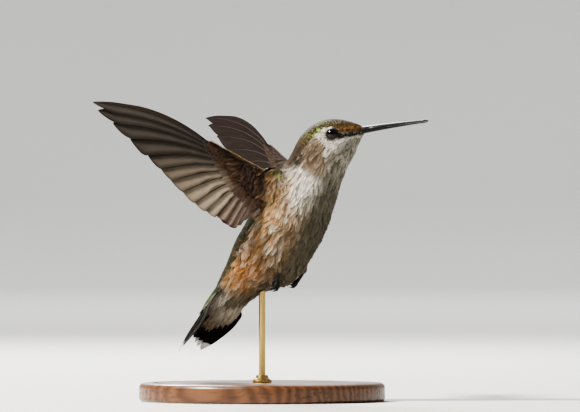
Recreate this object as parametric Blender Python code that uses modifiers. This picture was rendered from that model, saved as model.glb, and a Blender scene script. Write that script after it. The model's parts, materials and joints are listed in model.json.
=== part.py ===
"""Ruby-throated hummingbird hovering on a small display stand, at life size.

The bird faces +X and its midplane is Y = 0, apart from a slight turn of the head to its left and
small differences between the two wings and the two feet.  The origin is the centre of the stand's
underside.  Sizes are written in millimetres and scaled once, by MM, where meshes are made.

Every part is a solid of its own: the trunk is one smooth loft parted by thin cuts, each wing is an
arm, a hand, ten primaries and a fan of secondaries, and the tail is ten rectrices over a wedge of
undertail coverts.
"""

import math
from collections import namedtuple

import bmesh
import bpy
from mathutils import Matrix, Vector

MM = 0.001
GAP = 0.3  # clearance between neighbouring solids
RING_POINTS = 22  # points round each section of the trunk
RINGS_PER_STATION = 2

# ---------------------------------------------------------------------------- driving sizes

# One section of the trunk: its centre in the midplane, the direction of the back seen from the
# centre (degrees above +X), half its depth, half its width, and its share of the head's turn.
Station = namedtuple("Station", "name x z back half_depth half_width turn")
STATIONS = (
    Station("bill_base", 27.2, 65.9, 94, 0.95, 1.20, 1.00),
    Station("forehead", 24.9, 65.6, 112, 2.75, 2.70, 1.00),
    Station("eye", 21.7, 64.8, 127, 5.15, 4.75, 1.00),
    Station("crown", 19.2, 63.4, 138, 6.45, 5.60, 1.00),
    Station("occiput", 17.0, 61.0, 148, 7.10, 6.05, 0.85),
    Station("nape", 15.5, 58.0, 152, 7.35, 6.35, 0.50),
    Station("neck", 14.1, 55.3, 151, 7.55, 6.90, 0.15),
    Station("shoulder", 11.9, 51.6, 150, 8.40, 8.10, 0.00),
    Station("breast", 8.0, 44.8, 149, 9.45, 8.90, 0.00),
    Station("belly", 3.4, 37.8, 147, 9.50, 8.60, 0.00),
    Station("thigh", -0.1, 33.4, 144, 8.85, 7.80, 0.00),
    Station("vent", -4.4, 30.3, 141, 6.10, 6.30, 0.00),
    Station("rump", -7.9, 26.8, 141, 4.75, 5.30, 0.00),
    Station("tail_root", -10.6, 23.1, 143, 3.80, 4.60, 0.00),
)
STATION_INDEX = {station.name: i for i, station in enumerate(STATIONS)}
TRUNK_NODES = (
    ("head", "bill_base", "nape"),
    ("neck", "nape", "shoulder"),
    ("breast", "shoulder", "belly"),
    ("belly", "belly", "rump"),
    ("rump", "rump", "tail_root"),
)

HEAD_TURN = 10.0  # degrees to the bird's left
HEAD_PIVOT = Vector((15.5, 0.0, 58.0))

BILL_START = Vector((27.5, 0.0, 65.9))
BILL_LENGTH = 16.2
BILL_RISE = 9.5  # degrees
BILL_DROOP = 0.45  # how far the tip bends down from a straight line
UPPER_BILL_HEIGHT = (0.85, 0.42)  # at the base and near the tip
LOWER_BILL_HEIGHT = (0.60, 0.36)
BILL_HALF_WIDTH = (0.95, 0.34)
LOWER_BILL_SHARE = 0.86  # of the upper bill's length

EYE_RADIUS = 1.90
EYE_CENTRE = Vector((20.3, 3.85, 65.0))  # the left eye, before the head turns

WRIST = Vector((2.5, 11.0, 57.8))  # of the left wing; the right one mirrors it
WING_SWEEP = {"right": 40.5, "left": 33.0}  # degrees from straight back
WING_RISE = {"right": 21.3, "left": 16.5}
SPAN_BEND = 2.2  # how far the tip bends towards the upper side
CHORD_CAMBER = 1.0
CAMBER_CENTRE = 5.0
CAMBER_REACH = 9.0
VANE_THICKNESS = 0.55
VANE_BULGE = 0.15

# Wing outline in the wing's own plane: p runs from the wrist to the tip, q from the leading edge back.
REMEX_ROOTS = ((-6.2, 8.6), (0.9, 5.7), (11.2, -0.9))  # innermost secondary, first primary, last primary
SECONDARY_TIPS = ((-4.2, 11.6), (-3.3, 13.4), (-2.3, 15.1), (-1.0, 16.2), (0.9, 15.9), (3.4, 14.9))
PRIMARY_TIPS = (
    (6.3, 14.6),
    (9.5, 13.8),
    (13.2, 12.4),
    (16.8, 10.9),
    (20.1, 9.2),
    (24.0, 7.5),
    (29.6, 5.3),
    (35.0, 3.2),
    (39.6, 1.6),
    (41.6, 0.2),
)
LEADING_BOW = 4.8  # how far the last primary bows towards the leading edge
EDGE_WIDTH = 0.75  # of the outermost half vane
PRIMARY_ROUNDING = 0.82  # share of the length where a vane starts to round off
TIP_CUT = 0.98  # the very tip is a short blunt edge
SCALLOP = 0.07  # how far the secondaries' outline dips between two tips

TAIL_BACK = 143.0  # direction of the tail's upper side, degrees above +X
TAIL_ROOT = Vector((-13.2, 0.0, 25.0))
RECTRIX_LENGTHS = (10.1, 11.3, 12.3, 13.1, 13.6)  # from the central pair outwards, past the rump
RECTRIX_PITCH = (1.20, 1.76, 1.28)  # spacing at the root, at the widest place and at the tips
TAIL_WIDEST = 4.4  # distance of the widest place from the rump
TAIL_ARCH = 0.053  # how fast the outer feathers drop below the central ones
RECTRIX_ROUNDING = 0.72
UNDERTAIL_LENGTH = 7.2
UNDERTAIL_DEPTH = 5.2
UNDERTAIL_HALF_WIDTH = 3.9

# The legs: where the bare shank leaves the belly, the heel of the foot, the direction in which the
# toes leave it (degrees forward of the shank's line), how far they curl back, and their length.
Leg = namedtuple("Leg", "top heel lead curl length")
LEGS = {
    "right": Leg(Vector((8.0, -5.5, 32.2)), Vector((7.1, -5.3, 29.8)), 40.0, 150.0, 3.6),
    "left": Leg(Vector((9.5, 4.2, 32.2)), Vector((7.7, 3.9, 29.3)), 15.0, 110.0, 3.0),
}
SHANK_RADIUS = 0.42
TOE_RADIUS = 0.30
TOE_SPLAY = 0.50
HEEL_RADIUS = 0.50

BASE_RADIUS = 30.0
BASE_HEIGHT = 4.5
BASE_ROUNDING = 1.2
ROD_RADIUS = 0.8
ROD_TOP = 27.2
COLLAR_RADIUS = 2.2
COLLAR_HEIGHT = 1.6

COLOURS = {
    "plumage_crown": (0.30, 0.31, 0.12),
    "plumage_pale": (0.72, 0.69, 0.62),
    "plumage_flank": (0.52, 0.44, 0.33),
    "plumage_green": (0.16, 0.25, 0.10),
    "flight_feather": (0.17, 0.14, 0.12),
    "tail_feather": (0.035, 0.035, 0.032),
    "bill": (0.025, 0.024, 0.022),
    "eye": (0.010, 0.008, 0.007),
    "foot": (0.030, 0.028, 0.026),
    "stand_wood": (0.11, 0.055, 0.028),
    "stand_metal": (0.72, 0.62, 0.42),
}
ROUGHNESS = {"eye": 0.05, "bill": 0.35, "stand_wood": 0.4, "stand_metal": 0.25}
METALLIC = {"stand_metal": 1.0}


# ---------------------------------------------------------------------------- scene and materials


def clear_scene():
    for obj in list(bpy.data.objects):
        bpy.data.objects.remove(obj, do_unlink=True)


def new_collection(name):
    collection = bpy.data.collections.new(name)
    bpy.context.scene.collection.children.link(collection)
    return collection


def material(name):
    found = bpy.data.materials.get(name)
    if found:
        return found
    made = bpy.data.materials.new(name)
    made.use_nodes = True
    shader = made.node_tree.nodes["Principled BSDF"]
    shader.inputs["Base Color"].default_value = (*COLOURS[name], 1.0)
    shader.inputs["Roughness"].default_value = ROUGHNESS.get(name, 0.7)
    shader.inputs["Metallic"].default_value = METALLIC.get(name, 0.0)
    return made


def mesh_object(name, mesh, finish, collection):
    obj = bpy.data.objects.new(name, mesh)
    collection.objects.link(obj)
    if finish:
        mesh.materials.clear()
        mesh.materials.append(material(finish))
        mesh.shade_smooth()
        mesh.set_sharp_from_angle(angle=math.radians(40))
    return obj


def object_from_bmesh(name, shape, finish, collection):
    """Makes an object of a shape drawn in millimetres."""
    bmesh.ops.scale(shape, vec=(MM, MM, MM), verts=shape.verts)
    mesh = bpy.data.meshes.new(name)
    shape.to_mesh(mesh)
    shape.free()
    return mesh_object(name, mesh, finish, collection)


def as_cutter(obj):
    obj.hide_render = True
    obj.display_type = "WIRE"
    return obj


def cut(obj, cutter, operation="DIFFERENCE"):
    modifier = obj.modifiers.new(cutter.name, "BOOLEAN")
    modifier.operation = operation
    modifier.object = cutter
    modifier.solver = "EXACT"


# ---------------------------------------------------------------------------- trunk loft


def smooth_value(values, position):
    """Catmull-Rom interpolation of equally spaced values."""
    last = len(values) - 1
    start = min(int(position), last - 1)
    t = position - start
    before = values[max(start - 1, 0)]
    a = values[start]
    b = values[start + 1]
    after = values[min(start + 2, last)]
    return 0.5 * (
        2 * a
        + (b - before) * t
        + (2 * before - 5 * a + 4 * b - after) * t**2
        + (3 * a - before - 3 * b + after) * t**3
    )


def turn_head(point, share):
    turn = Matrix.Rotation(math.radians(HEAD_TURN) * share, 3, "Z")
    return HEAD_PIVOT + turn @ (point - HEAD_PIVOT)


def trunk_ring(position, shift=0.0, grow=0.0):
    """Points round the trunk at a place along its stations, moved by shift along the section's normal."""
    station = Station(
        "", *(smooth_value([s[i] for s in STATIONS], position) for i in range(1, 7))
    )
    back_angle = math.radians(station.back)
    back = Vector((math.cos(back_angle), 0.0, math.sin(back_angle)))
    tailward = Vector((-back.z, 0.0, back.x))
    centre = Vector((station.x, 0.0, station.z)) + tailward * shift
    ring = []
    for k in range(RING_POINTS):
        angle = 2 * math.pi * k / RING_POINTS
        point = centre + back * math.cos(angle) * (station.half_depth + grow)
        point.y += math.sin(angle) * (station.half_width + grow)
        ring.append(turn_head(point, station.turn))
    return ring


def loft(rings):
    """A closed bmesh through rings of equal point counts, with flat ends."""
    shape = bmesh.new()
    rows = [[shape.verts.new(p) for p in ring] for ring in rings]
    for row, following in zip(rows, rows[1:]):
        count = len(row)
        for k in range(count):
            shape.faces.new((row[k], row[(k + 1) % count], following[(k + 1) % count], following[k]))
    shape.faces.new(reversed(rows[0]))
    shape.faces.new(rows[-1])
    bmesh.ops.recalc_face_normals(shape, faces=shape.faces)
    return shape


def trunk_rings(first, last, grow=0.0, open_ends=False):
    """Rings from one named station to another, pulled in by half the gap at inner cuts."""
    start = STATION_INDEX[first]
    end = STATION_INDEX[last]
    count = (end - start) * RINGS_PER_STATION
    rings = []
    for k in range(count + 1):
        shift = 0.0
        if k == 0 and start > 0 and not open_ends:
            shift = GAP / 2
        if k == count and end < len(STATIONS) - 1 and not open_ends:
            shift = -GAP / 2
        rings.append(trunk_ring(start + k / RINGS_PER_STATION, shift, grow))
    return rings


def make_trunk(parts):
    finishes = {"head": "plumage_crown", "rump": "plumage_green", "belly": "plumage_flank"}
    nodes = {}
    for name, first, last in TRUNK_NODES:
        shape = loft(trunk_rings(first, last))
        nodes[name] = object_from_bmesh(name, shape, finishes.get(name, "plumage_pale"), parts)
    return nodes


def make_trunk_cutter(cutters):
    shape = loft(trunk_rings("neck", "tail_root", grow=GAP, open_ends=True))
    return as_cutter(object_from_bmesh("trunk_clearance", shape, None, cutters))


# ---------------------------------------------------------------------------- head


def make_eyes(parts, cutters, head):
    for side, sign in (("left", 1.0), ("right", -1.0)):
        centre = turn_head(Vector((EYE_CENTRE.x, sign * EYE_CENTRE.y, EYE_CENTRE.z)), 1.0)
        for name, radius in ((f"eye_{side}", EYE_RADIUS), (f"socket_{side}", EYE_RADIUS + GAP)):
            shape = bmesh.new()
            bmesh.ops.create_uvsphere(shape, u_segments=16, v_segments=9, radius=radius)
            bmesh.ops.translate(shape, vec=centre, verts=shape.verts)
            if name.startswith("eye"):
                object_from_bmesh(name, shape, "eye", parts)
            else:
                cut(head, as_cutter(object_from_bmesh(name, shape, None, cutters)))


def bill_section(along, height, half_width, top, points=9):
    """Half an oval, round on top or below, in the head's own direction."""
    rise = math.radians(BILL_RISE)
    forward = Vector((math.cos(rise), 0.0, math.sin(rise)))
    up = Vector((-forward.z, 0.0, forward.x))
    centre = BILL_START + forward * along * BILL_LENGTH - up * BILL_DROOP * along**2
    sign = 1.0 if top else -1.0
    ring = []
    for k in range(points):
        angle = math.pi * k / (points - 1)
        point = centre + up * sign * (GAP / 2 * 0.8 + math.sin(angle) * height)
        point.y += math.cos(angle) * half_width
        ring.append(turn_head(point, 1.0))
    return ring


def make_bill(parts):
    stations = 8
    for name, heights, top, share in (
        ("bill_upper", UPPER_BILL_HEIGHT, True, 1.0),
        ("bill_lower", LOWER_BILL_HEIGHT, False, LOWER_BILL_SHARE),
    ):
        rings = []
        for k in range(stations + 1):
            along = share * k / stations
            taper = (1.0 - along) ** 0.8
            point = min(1.0, 0.45 + 6.0 * (share - along))  # the last stretch comes to a tip
            height = (heights[1] + (heights[0] - heights[1]) * taper) * point
            half_width = (BILL_HALF_WIDTH[1] + (BILL_HALF_WIDTH[0] - BILL_HALF_WIDTH[1]) * taper) * point
            rings.append(bill_section(along, height, half_width, top))
        object_from_bmesh(name, loft(rings), "bill", parts)


# ---------------------------------------------------------------------------- wings


class WingPlane:
    """The plane of one wing, with its gentle camber."""

    def __init__(self, side):
        self.sign = 1.0 if side == "left" else -1.0
        sweep = math.radians(WING_SWEEP[side])
        rise = math.radians(WING_RISE[side])
        self.origin = Vector((WRIST.x, self.sign * WRIST.y, WRIST.z))
        self.spanwise = Vector(
            (-math.cos(sweep) * math.cos(rise), self.sign * math.sin(sweep) * math.cos(rise), math.sin(rise))
        )
        down = Vector((0.0, 0.0, -1.0))
        self.chordwise = (down - self.spanwise * down.dot(self.spanwise)).normalized()
        self.upper = self.spanwise.cross(self.chordwise) * self.sign

    def point(self, p, q, lift=0.0):
        """A place on the wing; positive lift is towards the upper side."""
        bend = SPAN_BEND * (max(p, 0.0) / PRIMARY_TIPS[-1][0]) ** 2
        camber = CHORD_CAMBER * (1.0 - ((q - CAMBER_CENTRE) / CAMBER_REACH) ** 2)
        return self.origin + self.spanwise * p + self.chordwise * q + self.upper * (lift + bend + camber)


def mix(a, b, share):
    return Vector(a) * (1.0 - share) + Vector(b) * share


def remex_line(index):
    """Root, bow point and tip of the shaft of one flight feather: 0 to 5 are secondaries, 6 to 15 primaries."""
    inner, knuckle, outer = REMEX_ROOTS
    secondaries = len(SECONDARY_TIPS)
    if index < secondaries:
        root = mix(inner, knuckle, index / secondaries)
        tip = Vector(SECONDARY_TIPS[index])
        share = 0.0
    else:
        share = (index - secondaries) / (len(PRIMARY_TIPS) - 1)
        root = mix(knuckle, outer, share)
        tip = Vector(PRIMARY_TIPS[index - secondaries])
    bow = mix(root, tip, 0.5)
    bow.y -= LEADING_BOW * (0.12 + 0.88 * share**1.5)
    return root, bow, tip


def on_line(line, v):
    root, bow, tip = line
    return root * (1 - v) ** 2 + bow * 2 * v * (1 - v) + tip * v**2


def vane_edge(index, v, side):
    """Where one edge of a flight feather runs: side -1 is towards the body, +1 towards the leading edge."""
    line = remex_line(index)
    shaft = on_line(line, v)
    tangent = (on_line(line, v + 0.02) - on_line(line, v - 0.02)).normalized()
    neighbour = index + side
    if neighbour < len(SECONDARY_TIPS) + len(PRIMARY_TIPS):
        half = (on_line(remex_line(neighbour), v) - shaft) * 0.5
        slant = abs(half.normalized().cross(tangent))
        half *= 1.0 - (GAP / 2) / (half.length * max(slant, 0.35))
    else:
        half = Vector((tangent.y, -tangent.x)) * EDGE_WIDTH * (0.5 + 0.5 * math.sin(math.pi * v))
    past = max(0.0, (v - PRIMARY_ROUNDING) / (1.0 - PRIMARY_ROUNDING))
    return shaft + half * math.sqrt(max(0.0, 1.0 - past**2))


def vane_shape(index, wing, rows=8, columns=3):
    """An open, curved vane of one flight feather."""
    shape = bmesh.new()
    bmesh.ops.create_grid(shape, x_segments=columns, y_segments=rows, size=0.5)
    for vert in shape.verts:
        u = vert.co.x + 0.5
        v = (vert.co.y + 0.5) * TIP_CUT
        p, q = mix(vane_edge(index, v, -1), vane_edge(index, v, 1), u)
        vert.co = wing.point(p, q, VANE_BULGE * math.sin(math.pi * u))
    bmesh.ops.recalc_face_normals(shape, faces=shape.faces)
    return shape


def secondary_fan(wing, rows=4, columns=18):
    """One open sheet for all the secondaries, scalloped along their tips."""
    secondaries = len(SECONDARY_TIPS)
    shape = bmesh.new()
    bmesh.ops.create_grid(shape, x_segments=columns, y_segments=rows, size=0.5)
    for vert in shape.verts:
        place = (vert.co.x + 0.5) * secondaries - 0.5
        low = min(max(int(math.floor(place)), 0), secondaries - 1)
        off_shaft = abs(place - round(place)) * 2.0
        v = (vert.co.y + 0.5) * (1.0 - SCALLOP * off_shaft**2)
        p, q = mix(on_line(remex_line(low), v), on_line(remex_line(low + 1), v), place - low)
        if place > secondaries - 1:
            p -= GAP / 2 * (place - secondaries + 1) * 2.0
        vert.co = wing.point(p, q)
    bmesh.ops.recalc_face_normals(shape, faces=shape.faces)
    return shape


def make_vane(name, shape, finish, parts):
    obj = object_from_bmesh(name, shape, finish, parts)
    wall = obj.modifiers.new("thickness", "SOLIDIFY")
    wall.thickness = VANE_THICKNESS * MM
    wall.offset = 0.0
    wall.use_even_offset = False
    return obj


def limb_rings(wing, stations):
    """Oval sections across a limb: each station gives p, leading q, trailing q and half thickness."""
    rings = []
    for p, lead, trail, half_thickness in stations:
        middle = (lead + trail) / 2
        half = (trail - lead) / 2
        ring = []
        for k in range(14):
            angle = 2 * math.pi * k / 14
            q = middle + half * math.cos(angle)
            ring.append(wing.point(p, q, half_thickness * math.sin(angle)))
        rings.append(ring)
    return rings


def make_wing(side, parts, trunk_cutter):
    wing = WingPlane(side)
    arm = limb_rings(
        wing,
        (
            (-10.5, 0.8, 8.0, 2.6),
            (-8.0, 0.6, 7.9, 2.5),
            (-5.0, 0.2, 7.4, 2.2),
            (-2.0, -0.2, 6.2, 1.9),
            (-GAP / 2, -0.4, 5.4, 1.7),
        ),
    )
    arm_object = object_from_bmesh(f"wing_{side}_arm", loft(arm), "plumage_green", parts)
    cut(arm_object, trunk_cutter)
    hand = limb_rings(
        wing,
        (
            (GAP / 2, -0.4, 5.2, 1.65),
            (2.5, -0.7, 3.9, 1.4),
            (5.5, -1.1, 2.1, 1.05),
            (8.5, -1.5, 0.3, 0.7),
            (10.6, -1.8, -0.8, 0.4),
        ),
    )
    object_from_bmesh(f"wing_{side}_hand", loft(hand), "flight_feather", parts)
    fan = make_vane(f"wing_{side}_secondaries", secondary_fan(wing), "flight_feather", parts)
    cut(fan, trunk_cutter)
    for number in range(1, len(PRIMARY_TIPS) + 1):
        shape = vane_shape(len(SECONDARY_TIPS) + number - 1, wing)
        make_vane(f"wing_{side}_primary_{number:02d}", shape, "flight_feather", parts)


# ---------------------------------------------------------------------------- tail


def tail_point(along, across, lift=0.0):
    """A place on the tail: along from its root, across from the midplane, lift towards the back."""
    angle = math.radians(TAIL_BACK)
    upper = Vector((math.cos(angle), 0.0, math.sin(angle)))
    tipward = Vector((-upper.z, 0.0, upper.x))
    return TAIL_ROOT + tipward * along + Vector((0.0, across, 0.0)) + upper * (lift - TAIL_ARCH * across**2)


def rectrix_pitch(along):
    root, widest, tip = RECTRIX_PITCH
    if along < TAIL_WIDEST:
        return root + (widest - root) * math.sin(math.pi / 2 * along / TAIL_WIDEST)
    past = (along - TAIL_WIDEST) / (RECTRIX_LENGTHS[-1] - TAIL_WIDEST)
    return widest + (tip - widest) * past**1.5


def rectrix_shape(pair, sign, rows=7, columns=3):
    """An open vane of one tail feather; pair 1 is the central one."""
    length = RECTRIX_LENGTHS[pair - 1]
    shape = bmesh.new()
    bmesh.ops.create_grid(shape, x_segments=columns, y_segments=rows, size=0.5)
    for vert in shape.verts:
        u = vert.co.x
        v = (vert.co.y + 0.5) * TIP_CUT
        along = GAP + v * length
        pitch = rectrix_pitch(along)
        past = max(0.0, (v - RECTRIX_ROUNDING) / (1.0 - RECTRIX_ROUNDING))
        width = (pitch - GAP) * math.sqrt(max(0.0, 1.0 - past**2))
        vert.co = tail_point(along, sign * ((pair - 0.5) * pitch + u * width))
    bmesh.ops.recalc_face_normals(shape, faces=shape.faces)
    return shape


def make_tail(parts):
    for side, sign in (("left", 1.0), ("right", -1.0)):
        for pair in range(1, 6):
            make_vane(f"tail_{side}_{pair}", rectrix_shape(pair, sign), "tail_feather", parts)
    rings = []
    steps = 7
    for k in range(steps):
        share = k / (steps - 1)
        depth = UNDERTAIL_DEPTH * (1.0 - 0.88 * share**1.2)
        half_width = UNDERTAIL_HALF_WIDTH * math.sqrt(1.0 - 0.93 * share**2.5)
        ring = []
        for j in range(14):
            angle = 2 * math.pi * j / 14
            across = half_width * math.sin(angle)
            lift = -VANE_THICKNESS / 2 - GAP - depth * (0.5 - 0.5 * math.cos(angle))
            ring.append(tail_point(GAP + share * UNDERTAIL_LENGTH, across, lift))
        rings.append(ring)
    object_from_bmesh("undertail", loft(rings), "plumage_pale", parts)


# ---------------------------------------------------------------------------- legs


def make_tube(name, points, radii, finish, collection):
    """A round tube along a smooth line of points, as a closed mesh."""
    curve = bpy.data.curves.new(name, "CURVE")
    curve.dimensions = "3D"
    curve.bevel_depth = MM
    curve.bevel_resolution = 1
    curve.use_fill_caps = True
    spline = curve.splines.new("POLY")
    spline.points.add(len(points) - 1)
    for knot, point, radius in zip(spline.points, points, radii):
        knot.co = (*(point * MM), 1.0)
        knot.radius = radius
    guide = bpy.data.objects.new(name + "_guide", curve)
    collection.objects.link(guide)
    bpy.context.view_layer.update()
    graph = bpy.context.evaluated_depsgraph_get()
    mesh = bpy.data.meshes.new_from_object(guide.evaluated_get(graph))
    bpy.data.objects.remove(guide)
    shape = bmesh.new()
    shape.from_mesh(mesh)
    bmesh.ops.remove_doubles(shape, verts=shape.verts, dist=1e-6)
    bmesh.ops.recalc_face_normals(shape, faces=shape.faces)
    shape.to_mesh(mesh)
    shape.free()
    return mesh_object(name, mesh, finish, collection)


def toe_line(heel, along, aside, splay, lead, curl, length):
    """A toe that leaves the heel towards one side and curls back under it."""
    outward = along.cross(aside).normalized()
    points = [heel.copy()]
    steps = 5
    for k in range(steps):
        angle = math.radians(lead - curl * (k / steps) ** 1.3)
        step = (along * math.cos(angle) + aside * math.sin(angle)) * length / steps
        points.append(points[-1] + step + outward * splay * max(0.0, 0.5 - k / steps))
    return points


def make_leg(side, parts, cutters, trunk_cutter):
    leg = LEGS[side]
    along = (leg.heel - leg.top).normalized()
    ahead = Vector((0.0, -1.0, 0.0)).cross(along).normalized()
    ahead *= 1.0 if ahead.x > 0 else -1.0
    middle = (leg.top + leg.heel) / 2 + ahead * 0.1
    shank = [leg.top - along * 0.8, middle, leg.heel - along * (HEEL_RADIUS + GAP)]
    radii = (SHANK_RADIUS + 0.08, SHANK_RADIUS, SHANK_RADIUS - 0.04)
    cut(make_tube(f"leg_{side}", shank, radii, "foot", parts), trunk_cutter)
    toe_radii = [TOE_RADIUS * share for share in (1.1, 1.1, 1.0, 0.9, 0.6, 0.3)]
    shape = bmesh.new()
    bmesh.ops.create_icosphere(shape, subdivisions=2, radius=HEEL_RADIUS)
    bmesh.ops.translate(shape, vec=leg.heel, verts=shape.verts)
    foot = object_from_bmesh(f"foot_{side}", shape, "foot", parts)
    toes = [
        toe_line(leg.heel, along, ahead, TOE_SPLAY * k, leg.lead - 14 * abs(k), leg.curl, leg.length * reach)
        for k, reach in ((-1, 0.92), (0, 1.05), (1, 0.90))
    ]
    toes.append(toe_line(leg.heel, along, -ahead, 0.0, 62.0, 120.0, leg.length * 0.72))
    for k, line in enumerate(toes):
        cut(foot, as_cutter(make_tube(f"toe_{side}_{k}", line, toe_radii, "foot", cutters)), "UNION")
    cut(foot, trunk_cutter)


# ---------------------------------------------------------------------------- stand


def turned(name, profile, finish, collection, steps=40):
    """A turned solid from (radius, height) points that run down its outer side."""
    mesh = bpy.data.meshes.new(name)
    points = [(r * MM, 0.0, z * MM) for r, z in profile]
    mesh.from_pydata(points, [(k, k + 1) for k in range(len(points) - 1)], [])
    obj = mesh_object(name, mesh, finish, collection)
    screw = obj.modifiers.new("turn", "SCREW")
    screw.steps = steps
    screw.render_steps = steps
    screw.use_merge_vertices = True
    screw.merge_threshold = 1e-5
    screw.use_normal_calculate = False
    return obj


def make_stand(parts, cutters, belly):
    edge = [
        (
            BASE_RADIUS - BASE_ROUNDING + BASE_ROUNDING * math.sin(math.radians(a)),
            BASE_HEIGHT - BASE_ROUNDING + BASE_ROUNDING * math.cos(math.radians(a)),
        )
        for a in (0, 30, 60, 90)
    ]
    base = [(0.0, BASE_HEIGHT), *edge, (BASE_RADIUS, 0.5), (BASE_RADIUS - 0.5, 0.0), (0.0, 0.0)]
    turned("stand_base", base, "stand_wood", parts)
    foot = BASE_HEIGHT + GAP
    bore = ROD_RADIUS + GAP
    collar = [
        (bore, foot + COLLAR_HEIGHT),
        (bore + 0.5, foot + COLLAR_HEIGHT),
        (COLLAR_RADIUS, foot + 0.5),
        (COLLAR_RADIUS, foot),
        (bore, foot),
        (bore, foot + COLLAR_HEIGHT),
    ]
    turned("stand_collar", collar, "stand_metal", parts, steps=20)
    rod = [(0.0, ROD_TOP), (ROD_RADIUS - 0.15, ROD_TOP), (ROD_RADIUS, ROD_TOP - 0.15), (ROD_RADIUS, foot), (0.0, foot)]
    turned("stand_rod", rod, "stand_metal", parts, steps=20)
    socket = [(0.0, ROD_TOP + GAP), (bore, ROD_TOP + GAP), (bore, foot), (0.0, foot)]
    cut(belly, as_cutter(turned("rod_socket", socket, None, cutters, steps=20)))


def main():
    clear_scene()
    parts = new_collection("ruby_throated_hummingbird")
    cutters = new_collection("cutters")
    trunk = make_trunk(parts)
    trunk_cutter = make_trunk_cutter(cutters)
    make_eyes(parts, cutters, trunk["head"])
    make_bill(parts)
    for side in ("right", "left"):
        make_wing(side, parts, trunk_cutter)
        make_leg(side, parts, cutters, trunk_cutter)
    make_tail(parts)
    make_stand(parts, cutters, trunk["belly"])


main()
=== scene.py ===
"""Looks of the hovering ruby-throated hummingbird: skin, plumage, flight feathers, head, feet and stand."""

import json
import math
from functools import partial
from itertools import product

import bmesh
import bpy
import numpy as np
from mathutils import Matrix, Vector, noise

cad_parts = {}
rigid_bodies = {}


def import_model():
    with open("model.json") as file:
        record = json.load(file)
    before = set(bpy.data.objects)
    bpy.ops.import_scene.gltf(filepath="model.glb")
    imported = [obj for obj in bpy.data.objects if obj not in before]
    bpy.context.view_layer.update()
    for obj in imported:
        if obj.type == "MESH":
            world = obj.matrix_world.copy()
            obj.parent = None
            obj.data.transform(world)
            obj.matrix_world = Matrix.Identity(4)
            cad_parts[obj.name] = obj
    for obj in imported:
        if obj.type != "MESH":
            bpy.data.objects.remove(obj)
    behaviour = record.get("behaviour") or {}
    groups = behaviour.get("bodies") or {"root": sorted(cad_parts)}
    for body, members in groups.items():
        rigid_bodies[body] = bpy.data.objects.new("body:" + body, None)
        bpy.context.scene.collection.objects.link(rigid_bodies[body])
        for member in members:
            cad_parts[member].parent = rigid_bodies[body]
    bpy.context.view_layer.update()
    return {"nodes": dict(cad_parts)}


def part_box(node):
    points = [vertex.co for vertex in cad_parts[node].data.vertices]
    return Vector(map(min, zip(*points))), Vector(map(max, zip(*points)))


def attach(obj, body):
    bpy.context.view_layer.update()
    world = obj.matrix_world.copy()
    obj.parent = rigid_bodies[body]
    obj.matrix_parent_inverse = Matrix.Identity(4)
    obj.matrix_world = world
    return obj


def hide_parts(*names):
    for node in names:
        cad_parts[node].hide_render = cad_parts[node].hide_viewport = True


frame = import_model()

bl_info = {
    "name": "Hovering Hummingbird",
    "version": (1, 0, 0),
    "blender": (4, 5, 0),
    "location": "View3D > Sidebar > Hummingbird",
    "description": "Skin, plumage, flight feathers, bill, eyes, feet and stand of a life-size hummingbird",
    "category": "Add Mesh",
}

MM = 0.001
SIDES = {"right": -1.0, "left": 1.0}

# The trunk's sections, in millimetres and degrees: x, z, direction of the back, half depth, half
# width and share of the head's turn.
STATIONS = (
    (27.2, 65.9, 94, 0.95, 1.20, 1.00),
    (24.9, 65.6, 112, 2.75, 2.70, 1.00),
    (21.7, 64.8, 127, 5.15, 4.75, 1.00),
    (19.2, 63.4, 138, 6.45, 5.60, 1.00),
    (17.0, 61.0, 148, 7.10, 6.05, 0.85),
    (15.5, 58.0, 152, 7.35, 6.35, 0.50),
    (14.1, 55.3, 151, 7.55, 6.90, 0.15),
    (11.9, 51.6, 150, 8.40, 8.10, 0.00),
    (8.0, 44.8, 149, 9.45, 8.90, 0.00),
    (3.4, 37.8, 147, 9.50, 8.60, 0.00),
    (-0.1, 33.4, 144, 8.85, 7.80, 0.00),
    (-4.4, 30.3, 141, 6.10, 6.30, 0.00),
    (-7.9, 26.8, 141, 4.75, 5.30, 0.00),
    (-10.6, 23.1, 143, 3.80, 4.60, 0.00),
)
HEAD_TURN = 10.0
HEAD_PIVOT = np.array((15.5, 0.0, 58.0))
EYE_CENTRE = np.array((20.3, 3.85, 65.0))
EYE_RADIUS = 1.66
EYE_BULGE = 0.14
BILL_START = np.array((27.5, 0.0, 65.9))
BILL_LENGTH = 16.2
BILL_RISE = math.radians(9.5)
BILL_DROOP = 0.45

WRIST = (2.5, 11.0, 57.8)
WING_SWEEP = {"right": 40.5, "left": 33.0}
WING_RISE = {"right": 21.3, "left": 16.5}
SPAN_BEND = 2.2
CHORD_CAMBER = 1.0
REMEX_ROOTS = np.array(((-6.2, 8.6), (0.9, 5.7), (11.2, -0.9)))
SECONDARY_TIPS = ((-4.2, 11.6), (-3.3, 13.4), (-2.3, 15.1), (-1.0, 16.2), (0.9, 15.9), (3.4, 14.9))
PRIMARY_TIPS = ((6.3, 14.6), (9.5, 13.8), (13.2, 12.4), (16.8, 10.9), (20.1, 9.2),
                (24.0, 7.5), (29.6, 5.3), (35.0, 3.2), (39.6, 1.6), (41.6, 0.2))
REMIGES = len(SECONDARY_TIPS) + len(PRIMARY_TIPS)
LEADING_BOW = 4.8

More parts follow.
